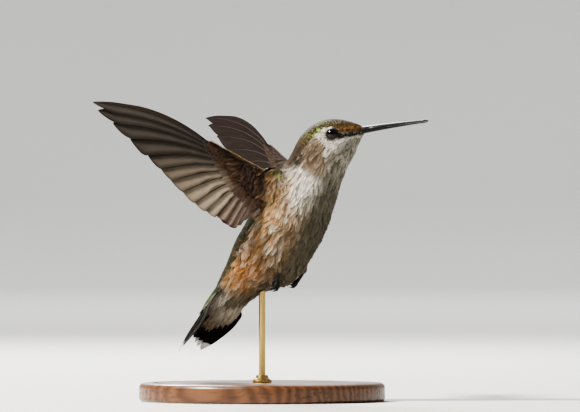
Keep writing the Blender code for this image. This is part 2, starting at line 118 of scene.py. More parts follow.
TAIL_ROOT = np.array((-13.2, 0.0, 25.0))
TAIL_BACK = math.radians(143.0)
TAIL_UP = np.array((math.cos(TAIL_BACK), 0.0, math.sin(TAIL_BACK)))
TAIL_WAY = np.array((-TAIL_UP[2], 0.0, TAIL_UP[0]))
LEFTWARD = np.array((0.0, 1.0, 0.0))
TAIL_ARCH = 0.053
RECTRIX_LENGTHS = (10.1, 11.3, 12.3, 13.1, 13.6)
RECTRIX_PITCH = (1.20, 1.76, 1.28)
TAIL_WIDEST = 4.4

# Softness of a contour feather, and spacing and depth of the coat on the wing arms.
SCALE, SILK, LANCE = 0.0, 1.0, 2.0
ARM_SPACING = 0.50
ARM_DEPTH = 0.22

LEGS = {  # top, heel, lead, curl, toe length
    "right": (np.array((8.0, -5.5, 32.2)), np.array((7.1, -5.3, 29.7)), 40.0, 145.0, 4.1),
    "left": (np.array((9.5, 4.2, 32.2)), np.array((7.7, 3.9, 29.3)), 15.0, 110.0, 3.0),
}


def paint(red, green, blue):
    """A linear colour from its everyday display values."""
    return tuple(c / 12.92 if c <= 0.04045 else ((c + 0.055) / 1.055) ** 2.4 for c in (red, green, blue))


def colour_prop(name, description, red, green, blue):
    return bpy.props.FloatVectorProperty(
        name=name, description=description, subtype="COLOR", min=0.0, max=1.0, default=paint(red, green, blue)
    )


# ---- settings


class HB_PlumageColours(bpy.types.PropertyGroup):
    """Colours of the plumage."""

    white: colour_prop("White", "Breast, throat and the spot behind the eye", 0.91, 0.895, 0.865)
    # Grey of the under parts: mostly painted shade on the belly, the front of the breast and the throat, and also
    # grey streaks.
    silver: colour_prop("Silver", "Shaded feathers of the breast and belly", 0.43, 0.41, 0.345)
    buff: colour_prop("Buff", "Flanks under the wing", 0.66, 0.53, 0.375)
    rust: colour_prop("Rust", "Patch on the flank above the legs", 0.59, 0.39, 0.19)
    green: colour_prop("Green", "Iridescent back", 0.15, 0.24, 0.10)
    flash: colour_prop("Flash", "Bright green flecks", 0.48, 0.66, 0.24)
    bronze: colour_prop("Bronze", "Edges of the crown and back feathers", 0.52, 0.46, 0.26)
    # Dark brown of the crown centres, also used as painted shade on the nape and down the belly.
    dusk: colour_prop("Dusk", "Dark centres of the crown feathers", 0.13, 0.105, 0.06)
    cheek: colour_prop("Cheek", "Ear coverts", 0.50, 0.425, 0.345)
    brown: colour_prop("Brown", "Spots on the ear coverts and the neck", 0.31, 0.22, 0.15)
    lore: colour_prop("Lore", "Dark mark between the eye and the bill", 0.07, 0.06, 0.05)
    cinnamon: colour_prop("Cinnamon", "Forehead and the line above the eye", 0.48, 0.345, 0.20)
    # Grey-brown of the throat streaks, also used as painted shade low on the belly and below a slanting line down
    # the breast.
    streak: colour_prop("Streak", "Fine streaks of the throat", 0.42, 0.39, 0.33)
    rim: colour_prop("Rim", "Thin pale line on the leading edge of the wings", 0.82, 0.66, 0.46)
    covert: colour_prop("Covert", "Coverts of the wings", 0.235, 0.175, 0.15)


class HB_CoatSizes(bpy.types.PropertyGroup):
    """Sizes of the contour feathers, in millimetres where they have a unit."""

    depth: bpy.props.FloatProperty(
        name="Coat depth", description="From the tips down to the skin, in millimetres", default=0.42, min=0.0
    )
    face_depth: bpy.props.FloatProperty(
        name="Face depth", description="The same beside the bill, in millimetres", default=0.16, min=0.0
    )
    length: bpy.props.FloatProperty(name="Length", description="Feather length over spacing", default=3.3)
    width: bpy.props.FloatProperty(name="Width", description="Feather half width over spacing", default=1.02)
    seed: bpy.props.IntProperty(name="Seed", description="Placing of the feathers", default=11)


class HB_FlightSizes(bpy.types.PropertyGroup):
    """Flight feathers."""

    rows: bpy.props.IntProperty(name="Rows", description="Steps along a vane", default=34)
    overlap: bpy.props.FloatProperty(
        name="Overlap", description="Width of the inner vane over the spacing", default=1.06
    )
    thickness: bpy.props.FloatProperty(
        name="Thickness", description="Thickness of a vane, in millimetres", default=0.07, min=0.0
    )


class HB_StandSizes(bpy.types.PropertyGroup):
    """The display stand, in millimetres."""

    base_radius: bpy.props.FloatProperty(
        name="Base radius", description="Radius of the base, in millimetres", default=30.0, min=13.0
    )
    base_height: bpy.props.FloatProperty(
        name="Base height", description="Height of the base, in millimetres", default=4.5, min=1.5
    )


class HB_StageSizes(bpy.types.PropertyGroup):
    """Camera and lights."""

    azimuth: bpy.props.FloatProperty(name="Azimuth", description="Camera direction, in degrees", default=28.0)
    distance: bpy.props.FloatProperty(
        name="Distance", description="Camera distance", default=1.8, min=0.1, unit="LENGTH"
    )
    key: bpy.props.FloatProperty(
        name="Key light", description="Power of the key light", default=22.0, min=0.0, unit="POWER"
    )
    fill: bpy.props.FloatProperty(
        name="Fill light", description="Power of the fill light", default=0.15, min=0.0, unit="POWER"
    )


# ---- shader expressions


class Value:
    """One output of a shader tree; arithmetic on it adds Math nodes."""

    def __init__(self, finish, socket):
        self.finish = finish
        self.socket = socket

    def math(self, operation, *values):
        return self.finish.node("ShaderNodeMath", {"operation": operation}, *values)

    def __add__(self, other):
        return self.math("ADD", self, other)

    __radd__ = __add__

    def __sub__(self, other):
        return self.math("SUBTRACT", self, other)

    def __rsub__(self, other):
        return self.math("SUBTRACT", other, self)

    def __mul__(self, other):
        return self.math("MULTIPLY", self, other)

    def wave(self):
        """A sine between 0 and 1."""
        return self.math("SINE", self) * 0.5 + 0.5

    def size(self):
        return self.math("ABSOLUTE", self)

    def step(self, low, high):
        """A smooth step from 0 at low to 1 at high."""
        smooth = {"interpolation_type": "SMOOTHSTEP"}
        return self.finish.node("ShaderNodeMapRange", smooth, self, low, high, 0.0, 1.0)


class Finish:
    """A Principled material built from expressions."""

    def __init__(self, name, colour=(0.5, 0.5, 0.5), **fixed):
        self.material = bpy.data.materials.new(name)
        self.material.use_nodes = True
        self.tree = self.material.node_tree
        self.shader = self.tree.nodes["Principled BSDF"]
        self.material.diffuse_color = (*colour, 1.0)
        self.set(base_color=colour, **fixed)

    def set(self, **inputs):
        """Sets inputs of the shader, named like base_color."""
        for key, value in inputs.items():
            self.join(value, self.shader.inputs[key.replace("_", " ").title().replace("Ior", "IOR")])
        return self

    def join(self, value, socket):
        if isinstance(value, Value):
            self.tree.links.new(value.socket, socket)
        else:
            socket.default_value = (*value, 1.0) if socket.type == "RGBA" and len(value) == 3 else value

    def node(self, kind, settings, *values, output=0, **named):
        made = self.tree.nodes.new(kind)
        for key, value in settings.items():
            setattr(made, key, value)
        for socket, value in zip(made.inputs, values):
            self.join(value, socket)
        for key, value in named.items():
            self.join(value, made.inputs[key])
        return Value(self, made.outputs[output])

    def attribute(self, name):
        output = "Color" if name in ("tint", "edge") else "Fac"
        return self.node("ShaderNodeAttribute", {"attribute_name": name}, output=output)

    def attributes(self, names):
        return [self.attribute(name) for name in names.split()]

    def place(self, *stretch):
        """Place on the piece, stretched along its axes."""
        where = self.node("ShaderNodeTexCoord", {}, output="Object")
        return self.node("ShaderNodeMapping", {}, where, Scale=stretch or (1.0, 1.0, 1.0))

    def clouds(self, scale, *stretch, detail=3.0):
        where = self.place(*stretch)
        return self.node("ShaderNodeTexNoise", {}, Vector=where, Scale=scale, Detail=detail, output="Fac")

    def blend(self, share, first, second, kind="MIX"):
        made = self.tree.nodes.new("ShaderNodeMix")
        made.data_type = "RGBA"
        made.blend_type = kind
        for index, value in ((0, share), (6, first), (7, second)):
            self.join(value, made.inputs[index])
        return Value(self, made.outputs[2])

    def darken(self, colour, tone):
        return self.blend(1.0, colour, self.node("ShaderNodeCombineColor", {}, tone, tone, tone), "MULTIPLY")

    def relief(self, height, strength, distance):
        """Fine bumps; their distance is in metres."""
        return self.node("ShaderNodeBump", {}, Height=height, Strength=strength, Distance=distance, output="Normal")


FINISHES = {}


def finish(name, build):
    """The finish of that name, built once."""
    if name not in FINISHES:
        FINISHES[name] = build(name).material
    return FINISHES[name]


def contour_finish(name):
    """Contour feathers: each has its own colours, a darker root that is partly the grey down and partly painted
    shade under the overlapping feathers, fine barbs and a soft gloss.
    """
    look = Finish(name, roughness=0.66, specular_ior_level=0.13)
    along, across, tint, edge, seed, gloss = look.attributes("along across tint edge seed gloss")
    rim = (across * across * 0.42 + along * along + seed * 0.06).step(0.90, 1.02) * along.step(0.50, 0.62)
    colour = look.blend(rim, tint, edge)
    barbs = (along * 40.0 + across.size() * 26.0 + seed * 6.0).wave()
    shaft = 1.0 - across.size().step(0.02, 0.10)
    # painted shade at the root where the feathers overlap, with random tone, barbs and the shaft
    root_shade_and_tone = along.step(0.10, 0.80) * 0.50 + 0.48 + seed * 0.16 + barbs * 0.07 - shaft * 0.08
    return look.set(base_color=look.darken(colour, root_shade_and_tone), roughness=0.66 - gloss * 0.36, metallic=gloss * 0.5,
                    normal=look.relief(barbs + across.size() * 0.6, 0.4, 0.00006))


def skin_finish(name):
    look = Finish(name, roughness=0.9)
    down = look.clouds(2600.0)
    # painted shade: the plumage tint darkened towards brown so the skin between the feathers looks shadowed
    colour = look.blend(down * 0.3 + 0.55, look.attribute("tint"), paint(0.20, 0.17, 0.14))
    return look.set(base_color=colour, normal=look.relief(down, 0.5, 0.0001))


def flight_finish(name):
    """Wing vanes: slanting barbs, a dark line at the shaft, a paler margin and a darker upper face."""
    look = Finish(name, roughness=0.72, specular_ior_level=0.1)
    along, across, seed, top, tint, edge = look.attributes("along across seed top tint edge")
    barbs = (along * 240.0 + across.size() * 60.0).wave()
    drift = look.clouds(420.0, detail=2.0)
    shaft = 1.0 - across.size().step(0.03, 0.13)
    margin = across.size().step(0.86, 0.98)
    inside = (across * -1.0).step(0.12, 0.45) * (1.0 - (across * -1.0).step(0.62, 0.90))
    tone = 0.70 + barbs * 0.08 + drift * 0.24 + seed * 0.08 + inside * 0.18 - along.step(0.72, 1.0) * 0.14
    base = look.blend(margin * 0.3 + inside * 0.55, tint, edge)
    base = look.blend(top * 0.75, base, paint(0.22, 0.17, 0.16))
    base = look.darken(base, tone * (1.0 - top * 0.62))
    base = look.blend(shaft * 0.8, base, paint(0.11, 0.085, 0.07))
    return look.set(base_color=base, normal=look.relief(barbs * 0.5 + shaft, 0.4, 0.00006))


def quill_finish(name):
    look = Finish(name, colour=paint(0.16, 0.12, 0.10), roughness=0.55, specular_ior_level=0.3)
    grain = look.clouds(900.0)
    return look.set(base_color=look.blend(grain, paint(0.11, 0.085, 0.07), paint(0.20, 0.155, 0.13)))


def tail_finish(name):
    """Tail vanes: black with a blue-green gloss, greyer at the base, the outer ones tipped white."""
    look = Finish(name, roughness=0.7, specular_ior_level=0.1)
    along, across, white, green = look.attributes("along across white green")
    barbs = (along * 220.0 + across.size() * 60.0).wave()
    ragged = look.clouds(1500.0) * 0.05
    base = look.blend(along.step(0.0, 0.35), paint(0.05, 0.045, 0.035), paint(0.03, 0.028, 0.026))
    base = look.blend(green, base, paint(0.12, 0.20, 0.12))
    tip = (along + ragged + white * 0.055 - across * across * 0.02).step(0.925, 0.955) * white.step(0.1, 0.6)
    base = look.blend(tip, base, paint(0.90, 0.96, 1.0))
    base = look.darken(base, 0.88 + barbs * 0.2)
    return look.set(base_color=base, normal=look.relief(barbs, 0.3, 0.00005))


def horn_finish(name):
    """Black bill with lengthwise grain that also varies its roughness."""
    look = Finish(name, roughness=0.30, specular_ior_level=0.28)
    grain = look.clouds(700.0, 0.08, 1.0, 1.0, detail=4.0)
    fine = look.clouds(3000.0, 0.12, 1.0, 1.0)
    return look.set(base_color=look.blend(grain, paint(0.008, 0.008, 0.01), paint(0.03, 0.028, 0.028)),
                    roughness=0.24 + grain * 0.12, normal=look.relief(fine, 0.25, 0.00005))


def eye_finish(name):
    """Near-black ball: a deep brown iris round a black pupil, glossy as if wet."""
    look = Finish(name, roughness=0.04, specular_ior_level=0.30)
    polar = look.attribute("polar")
    iris = polar.step(0.45, 0.52) * (1.0 - polar.step(0.72, 0.86))
    return look.set(base_color=look.blend(iris, paint(0.015, 0.015, 0.015), paint(0.055, 0.035, 0.025)))


def lid_finish(name):
    look = Finish(name, roughness=0.6)
    grain = look.clouds(2400.0)
    base = look.blend(grain, paint(0.06, 0.05, 0.045), paint(0.13, 0.11, 0.095))
    base = look.blend(look.attribute("rim"), base, paint(0.05, 0.045, 0.04))
    return look.set(base_color=base, normal=look.relief(grain, 0.5, 0.00006))


def foot_finish(name):
    look = Finish(name, specular_ior_level=0.22)
    cells = look.node("ShaderNodeTexVoronoi", {}, Vector=look.place(), Scale=4200.0, output="Distance")
    claw = look.attribute("claw")
    base = look.blend(cells.step(0.1, 0.6), paint(0.04, 0.035, 0.03), paint(0.018, 0.016, 0.015))
    return look.set(base_color=look.blend(claw, base, paint(0.02, 0.018, 0.017)), roughness=0.5 - claw * 0.28,
                    normal=look.relief(1.0 - cells, 0.45, 0.00006))


def wood_finish(name):
    """Oiled walnut: bent rings, pores along the grain and a satin coat."""
    look = Finish(name, roughness=0.35, coat_weight=0.25, coat_roughness=0.2)
    bend = look.clouds(22.0, detail=2.0)
    rings = look.node("ShaderNodeTexWave", {"wave_type": "BANDS", "bands_direction": "Y"},
                      Vector=look.place(1.0, 7.0, 7.0), Scale=26.0, Distortion=5.5, Detail=3.0, output="Fac")
    pores = look.clouds(900.0, 0.05, 1.0, 1.0, detail=4.0).step(0.52, 0.68)
    base = look.blend(rings * 0.7 + bend * 0.3, paint(0.27, 0.165, 0.10), paint(0.47, 0.31, 0.20))
    return look.set(base_color=look.blend(pores * 0.55, base, paint(0.15, 0.085, 0.05)),
                    roughness=0.34 + pores * 0.25, normal=look.relief(1.0 - pores, 0.2, 0.00008))


def brass_finish(name):
    look = Finish(name, colour=paint(0.80, 0.68, 0.42), roughness=0.3, metallic=1.0)
    brush = look.clouds(1400.0, 1.0, 1.0, 0.03)
    return look.set(base_color=look.blend(brush, paint(0.72, 0.60, 0.36), paint(0.86, 0.75, 0.50)),
                    roughness=0.24 + brush * 0.16, normal=look.relief(brush, 0.12, 0.00004))


def floor_finish(name):
    look = Finish(name, colour=paint(0.86, 0.86, 0.85), roughness=0.85)
    return look.set(base_color=look.blend(look.clouds(3.0), paint(0.85, 0.85, 0.84), paint(0.88, 0.88, 0.87)))


# ---- small mathematics


def catmull(values, places):
    """Smooth interpolation of equally spaced rows at fractional places."""
    values = np.asarray(values, float)
    places = np.clip(places, 0.0, len(values) - 1.0)
    start = np.minimum(places.astype(int), len(values) - 2)
    t = places - start
    if values.ndim > 1:
        t = t[:, None]
    before, a, b, after = (values[np.clip(start + k, 0, len(values) - 1)] for k in (-1, 0, 1, 2))
    square = (2 * before - 5 * a + 4 * b - after) * t**2
    cube = (3 * a - before - 3 * b + after) * t**3
    return 0.5 * (2 * a + (b - before) * t + square + cube)


def ease(values, low, high):
    """Smooth step from 0 at low to 1 at high."""
    t = np.clip((np.asarray(values, float) - low) / (high - low), 0.0, 1.0)
    return t * t * (3.0 - 2.0 * t)


def fade(values, low, high):
    """Smooth step from 1 at low to 0 at high."""
    return 1.0 - ease(values, low, high)


def bump_at(values, middle, reach):
    """1 at the middle, falling smoothly to 0 at reach away."""
    return fade(np.abs(values - middle), 0.0, reach)


def unit(vectors):
    vectors = np.asarray(vectors, float)
    return vectors / np.maximum(np.linalg.norm(vectors, axis=-1, keepdims=True), 1e-9)


def circle(count):
    return np.linspace(0, 2 * math.pi, count, endpoint=False)


def turned(points, shares, way=1.0):
    """Points turned with the head, each by its share of the whole turn."""
    angle = np.radians(HEAD_TURN) * shares * way
    moved = points - HEAD_PIVOT
    x = moved[:, 0] * np.cos(angle) - moved[:, 1] * np.sin(angle)
    y = moved[:, 0] * np.sin(angle) + moved[:, 1] * np.cos(angle)
    return np.stack([x, y, moved[:, 2]], axis=1) + HEAD_PIVOT


def turn_vectors(vectors, shares):
    return turned(vectors + HEAD_PIVOT, shares) - HEAD_PIVOT


def speckle(points, size, seed=0.0):
    """Smooth noise from 0 to 1 at points."""
    shift = Vector((seed, seed * 2.0, -seed))
    return np.array([noise.noise(Vector(p) / size + shift) for p in points]) * 0.5 + 0.5


def eye_axis(sign):
    """Centre of an eye and the way it looks, with the head turned."""
    centre = turned(np.array([EYE_CENTRE * (1.0, sign, 1.0)]), np.array([1.0]))[0]
    way = unit(turn_vectors(np.array([(0.20, sign * 0.98, 0.03)]), np.array([1.0]))[0])
    return centre, way


class Trunk:
    """The trunk's sections as a smooth chart: a station along it and an angle round it."""

    def __init__(self):
        self.steps = np.linspace(0.0, len(STATIONS) - 1.0, 261)
        self.rows = catmull(STATIONS, self.steps)

    def nearest(self, points, chunk=4096):
        """Number of the section nearest to each point."""
        found = np.zeros(len(points), int)
        for start in range(0, len(points), chunk):
            part = points[start:start + chunk][:, [0, 2]]
            found[start:start + chunk] = ((part[:, None, :] - self.rows[None, :, :2]) ** 2).sum(2).argmin(1)
        return found

    def chart(self, points):
        plain = points
        for _ in range(3):
            nearest = self.nearest(plain)
            rows = self.rows[nearest]
            plain = turned(points, rows[:, 5], -1.0)
        back = np.radians(rows[:, 2])
        offset = plain[:, [0, 2]] - rows[:, :2]
        lift = (offset[:, 0] * np.cos(back) + offset[:, 1] * np.sin(back)) / rows[:, 3]
        wide = np.abs(plain[:, 1]) / rows[:, 4]
        tailward = np.stack([-np.sin(back), np.zeros(len(back)), np.cos(back)], axis=1)
        return {
            "plain": plain,
            "station": self.steps[nearest],
            "angle": np.degrees(np.arctan2(wide, lift)),
            "reach": np.hypot(wide, lift),
            "side": np.sign(plain[:, 1] + 1e-9),
            "tailward": turn_vectors(tailward, rows[:, 5]),
        }


class WingPlane:
    """The plane of one wing: p runs along the span, q from the leading edge back."""

    def __init__(self, side):
        self.sign = SIDES[side]
        sweep = math.radians(WING_SWEEP[side])
        rise = math.radians(WING_RISE[side])
        self.origin = np.array((WRIST[0], self.sign * WRIST[1], WRIST[2]))
        self.spanwise = np.array(
            (-math.cos(sweep) * math.cos(rise), self.sign * math.sin(sweep) * math.cos(rise), math.sin(rise))
        )
        down = np.array((0.0, 0.0, -1.0))
        self.chordwise = unit(down - self.spanwise * down.dot(self.spanwise))
        self.upper = np.cross(self.spanwise, self.chordwise) * self.sign

    def point(self, p, q, lift=0.0):
        """Places on the bent and cambered wing, some way above its plane."""
        p, q, lift = np.broadcast_arrays(*(np.asarray(v, float) for v in (p, q, lift)))
        bend = SPAN_BEND * (np.maximum(p, 0.0) / PRIMARY_TIPS[-1][0]) ** 2
        camber = CHORD_CAMBER * (1.0 - ((q - 5.0) / 9.0) ** 2)
        p, q, height = (v[..., None] for v in (p, q, lift + bend + camber))
        return self.origin + self.spanwise * p + self.chordwise * q + self.upper * height

    def locate(self, points):
        moved = points - self.origin
        return moved @ self.spanwise, moved @ self.chordwise, moved @ self.upper


def remex_line(index):
    """Root, bow point and tip of a flight feather's shaft; fractional indices lie between feathers."""
    low = int(min(max(math.floor(index), 0), REMIGES - 2))
    share = index - low
    inner, knuckle, outer = REMEX_ROOTS
    count = len(SECONDARY_TIPS)
    lines = []
    for number in (low, low + 1):
        part = max(0.0, (number - count) / (len(PRIMARY_TIPS) - 1))
        if number < count:
            root = inner + (knuckle - inner) * number / count
        else:
            root = knuckle + (outer - knuckle) * part
        tip = np.array((SECONDARY_TIPS + PRIMARY_TIPS)[number])
        bow = (root + tip) / 2 - np.array((0.0, LEADING_BOW * (0.12 + 0.88 * part**1.5)))
        lines.append(np.stack([root, bow, tip]))
    return lines[0] * (1.0 - share) + lines[1] * share


def on_line(line, v):
    v = np.asarray(v, float)[:, None]
    return line[0] * (1 - v) ** 2 + line[1] * 2 * v * (1 - v) + line[2] * v**2


# ---- meshes


def new_object(name, mesh):
    obj = bpy.data.objects.new(name, mesh)
    bpy.context.scene.collection.objects.link(obj)
    return obj


def build_mesh(name, points, faces, smooth=True, **attributes):
    """A mesh object from points in millimetres, faces, and one number or vector for each point."""
    mesh = bpy.data.meshes.new(name)
    mesh.from_pydata((np.asarray(points) * MM).tolist(), [], [list(map(int, face)) for face in faces])
    mesh.update()
    if smooth:
        mesh.shade_smooth()
    for key, values in attributes.items():
        write_attribute(mesh, key, values)
    return new_object(name, mesh)


def write_attribute(mesh, name, values):
    """Stores whole numbers, numbers, vectors or colours, one for each point."""
    values = np.asarray(values, float)
    kind, field, store = "FLOAT", "value", np.float32
    if name == "shape":
        kind, store = "INT", np.int32
    elif values.ndim == 2:
        kind, field = ("FLOAT_VECTOR", "vector") if values.shape[1] == 3 else ("FLOAT_COLOR", "color")
    mesh.attributes.new(name, kind, "POINT").data.foreach_set(field, values.astype(store).ravel())


def opaque(colours):
    return np.concatenate([colours, np.ones((len(colours), 1))], axis=1)


def read(items, field, kind=np.float32):
    """Three numbers of each item of a mesh."""
    flat = np.zeros(len(items) * 3, kind)
    items.foreach_get(field, flat)
    return flat.reshape(-1, 3)


def read_points(mesh):
    return read(mesh.vertices, "co").astype(float) / MM


def read_normals(mesh):
    return read(mesh.vertex_normals, "vector").astype(float)


def grid_faces(rows, columns, closed=False, flip=False):
    """Faces of a grid of points; a closed grid joins each row's ends."""
    faces = []
    for a in range(0, (rows - 1) * columns, columns):
        for c in range(columns if closed else columns - 1):
            b = (c + 1) % columns
            faces.append((a + c, a + b, a + columns + b, a + columns + c))
    return [face[::-1] for face in faces] if flip else faces


def fan_caps(count, sides):
    """Faces that close both ends of a tube of that many points with the two points that follow."""
    faces = []
    for c in range(sides):
        d = (c + 1) % sides
        faces += [(c, d, count), (count - sides + d, count - sides + c, count + 1)]
    return faces


def tube(path, radii, sides=12):
    """Points, faces and place along (0 to 1) of a closed round tube on a path."""
    ahead = unit(np.gradient(path, axis=0))
    across = np.cross(ahead[0], (0.13, 0.9, 0.41))
    turn = circle(sides)
    rings = []
    for point, way, radius in zip(path, ahead, radii):
        across = unit(across - way * across.dot(way))
        other = np.cross(way, across)
        rings.append(point + radius * (np.outer(np.cos(turn), across) + np.outer(np.sin(turn), other)))
    points = np.concatenate(rings + [path[:1], path[-1:]])
    faces = grid_faces(len(path), sides, closed=True, flip=True) + fan_caps(len(path) * sides, sides)
    along = np.concatenate([np.repeat(np.linspace(0, 1, len(path)), sides), (0.0, 1.0)])
    return points, faces, along


class Bundle:
    """Gathers several shapes into one mesh."""

    def __init__(self):
        self.points = []
        self.faces = []
        self.fields = {}
        self.count = 0

    def add(self, points, faces, **fields):
        self.points.append(points)
        self.faces.extend(tuple(i + self.count for i in face) for face in faces)
        for key, values in fields.items():
            values = np.asarray(values, float)
            if len(values) != len(points) if values.ndim == 1 else values.ndim == 0:
                values = np.broadcast_to(values, (len(points), *values.shape)).copy()
            self.fields.setdefault(key, []).append(values)
        self.count += len(points)

    def build(self, name):
        fields = {key: np.concatenate(values) for key, values in self.fields.items()}
        return build_mesh(name, np.concatenate(self.points), self.faces, **fields)


def outward(obj, gap=1e-7):
    """Merges doubles and turns every face outwards."""
    shape = bmesh.new()
    shape.from_mesh(obj.data)
    bmesh.ops.remove_doubles(shape, verts=shape.verts, dist=gap)
    bmesh.ops.recalc_face_normals(shape, faces=shape.faces)
    shape.to_mesh(obj.data)
    shape.free()
    obj.data.shade_smooth()


def bake_modifiers(obj):
    """Makes the modified shape the object's plain mesh."""
    bpy.context.view_layer.update()
    graph = bpy.context.evaluated_depsgraph_get()
    mesh = bpy.data.meshes.new_from_object(obj.evaluated_get(graph))
    obj.modifiers.clear()
    obj.data = mesh


def settle(obj, look, slot, *nodes):
    """Gives a finished piece its finish, its body and the solids it stands for."""
    obj.data.materials.clear()
    obj.data.materials.append(look)
    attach(obj, "root")
    if nodes:
        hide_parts(*nodes)


# ---- plumage chart


def face_place(chart):
    """Distance ahead of and above the eye, along the line of the bill."""
    x = chart["plain"][:, 0] - EYE_CENTRE[0]
    z = chart["plain"][:, 2] - EYE_CENTRE[2]
    run, rise = math.cos(BILL_RISE), math.sin(BILL_RISE)
    return x * run + z * rise, z * run - x * rise


def spread(base, *layers):
    """Paints (mask, colour) layers over a base colour."""
    colour = np.asarray(base, float)
    for mask, tint in layers:
        mask = np.clip(mask, 0.0, 1.0)[:, None]
        colour = colour * (1.0 - mask) + np.asarray(tint, float) * mask
    return colour


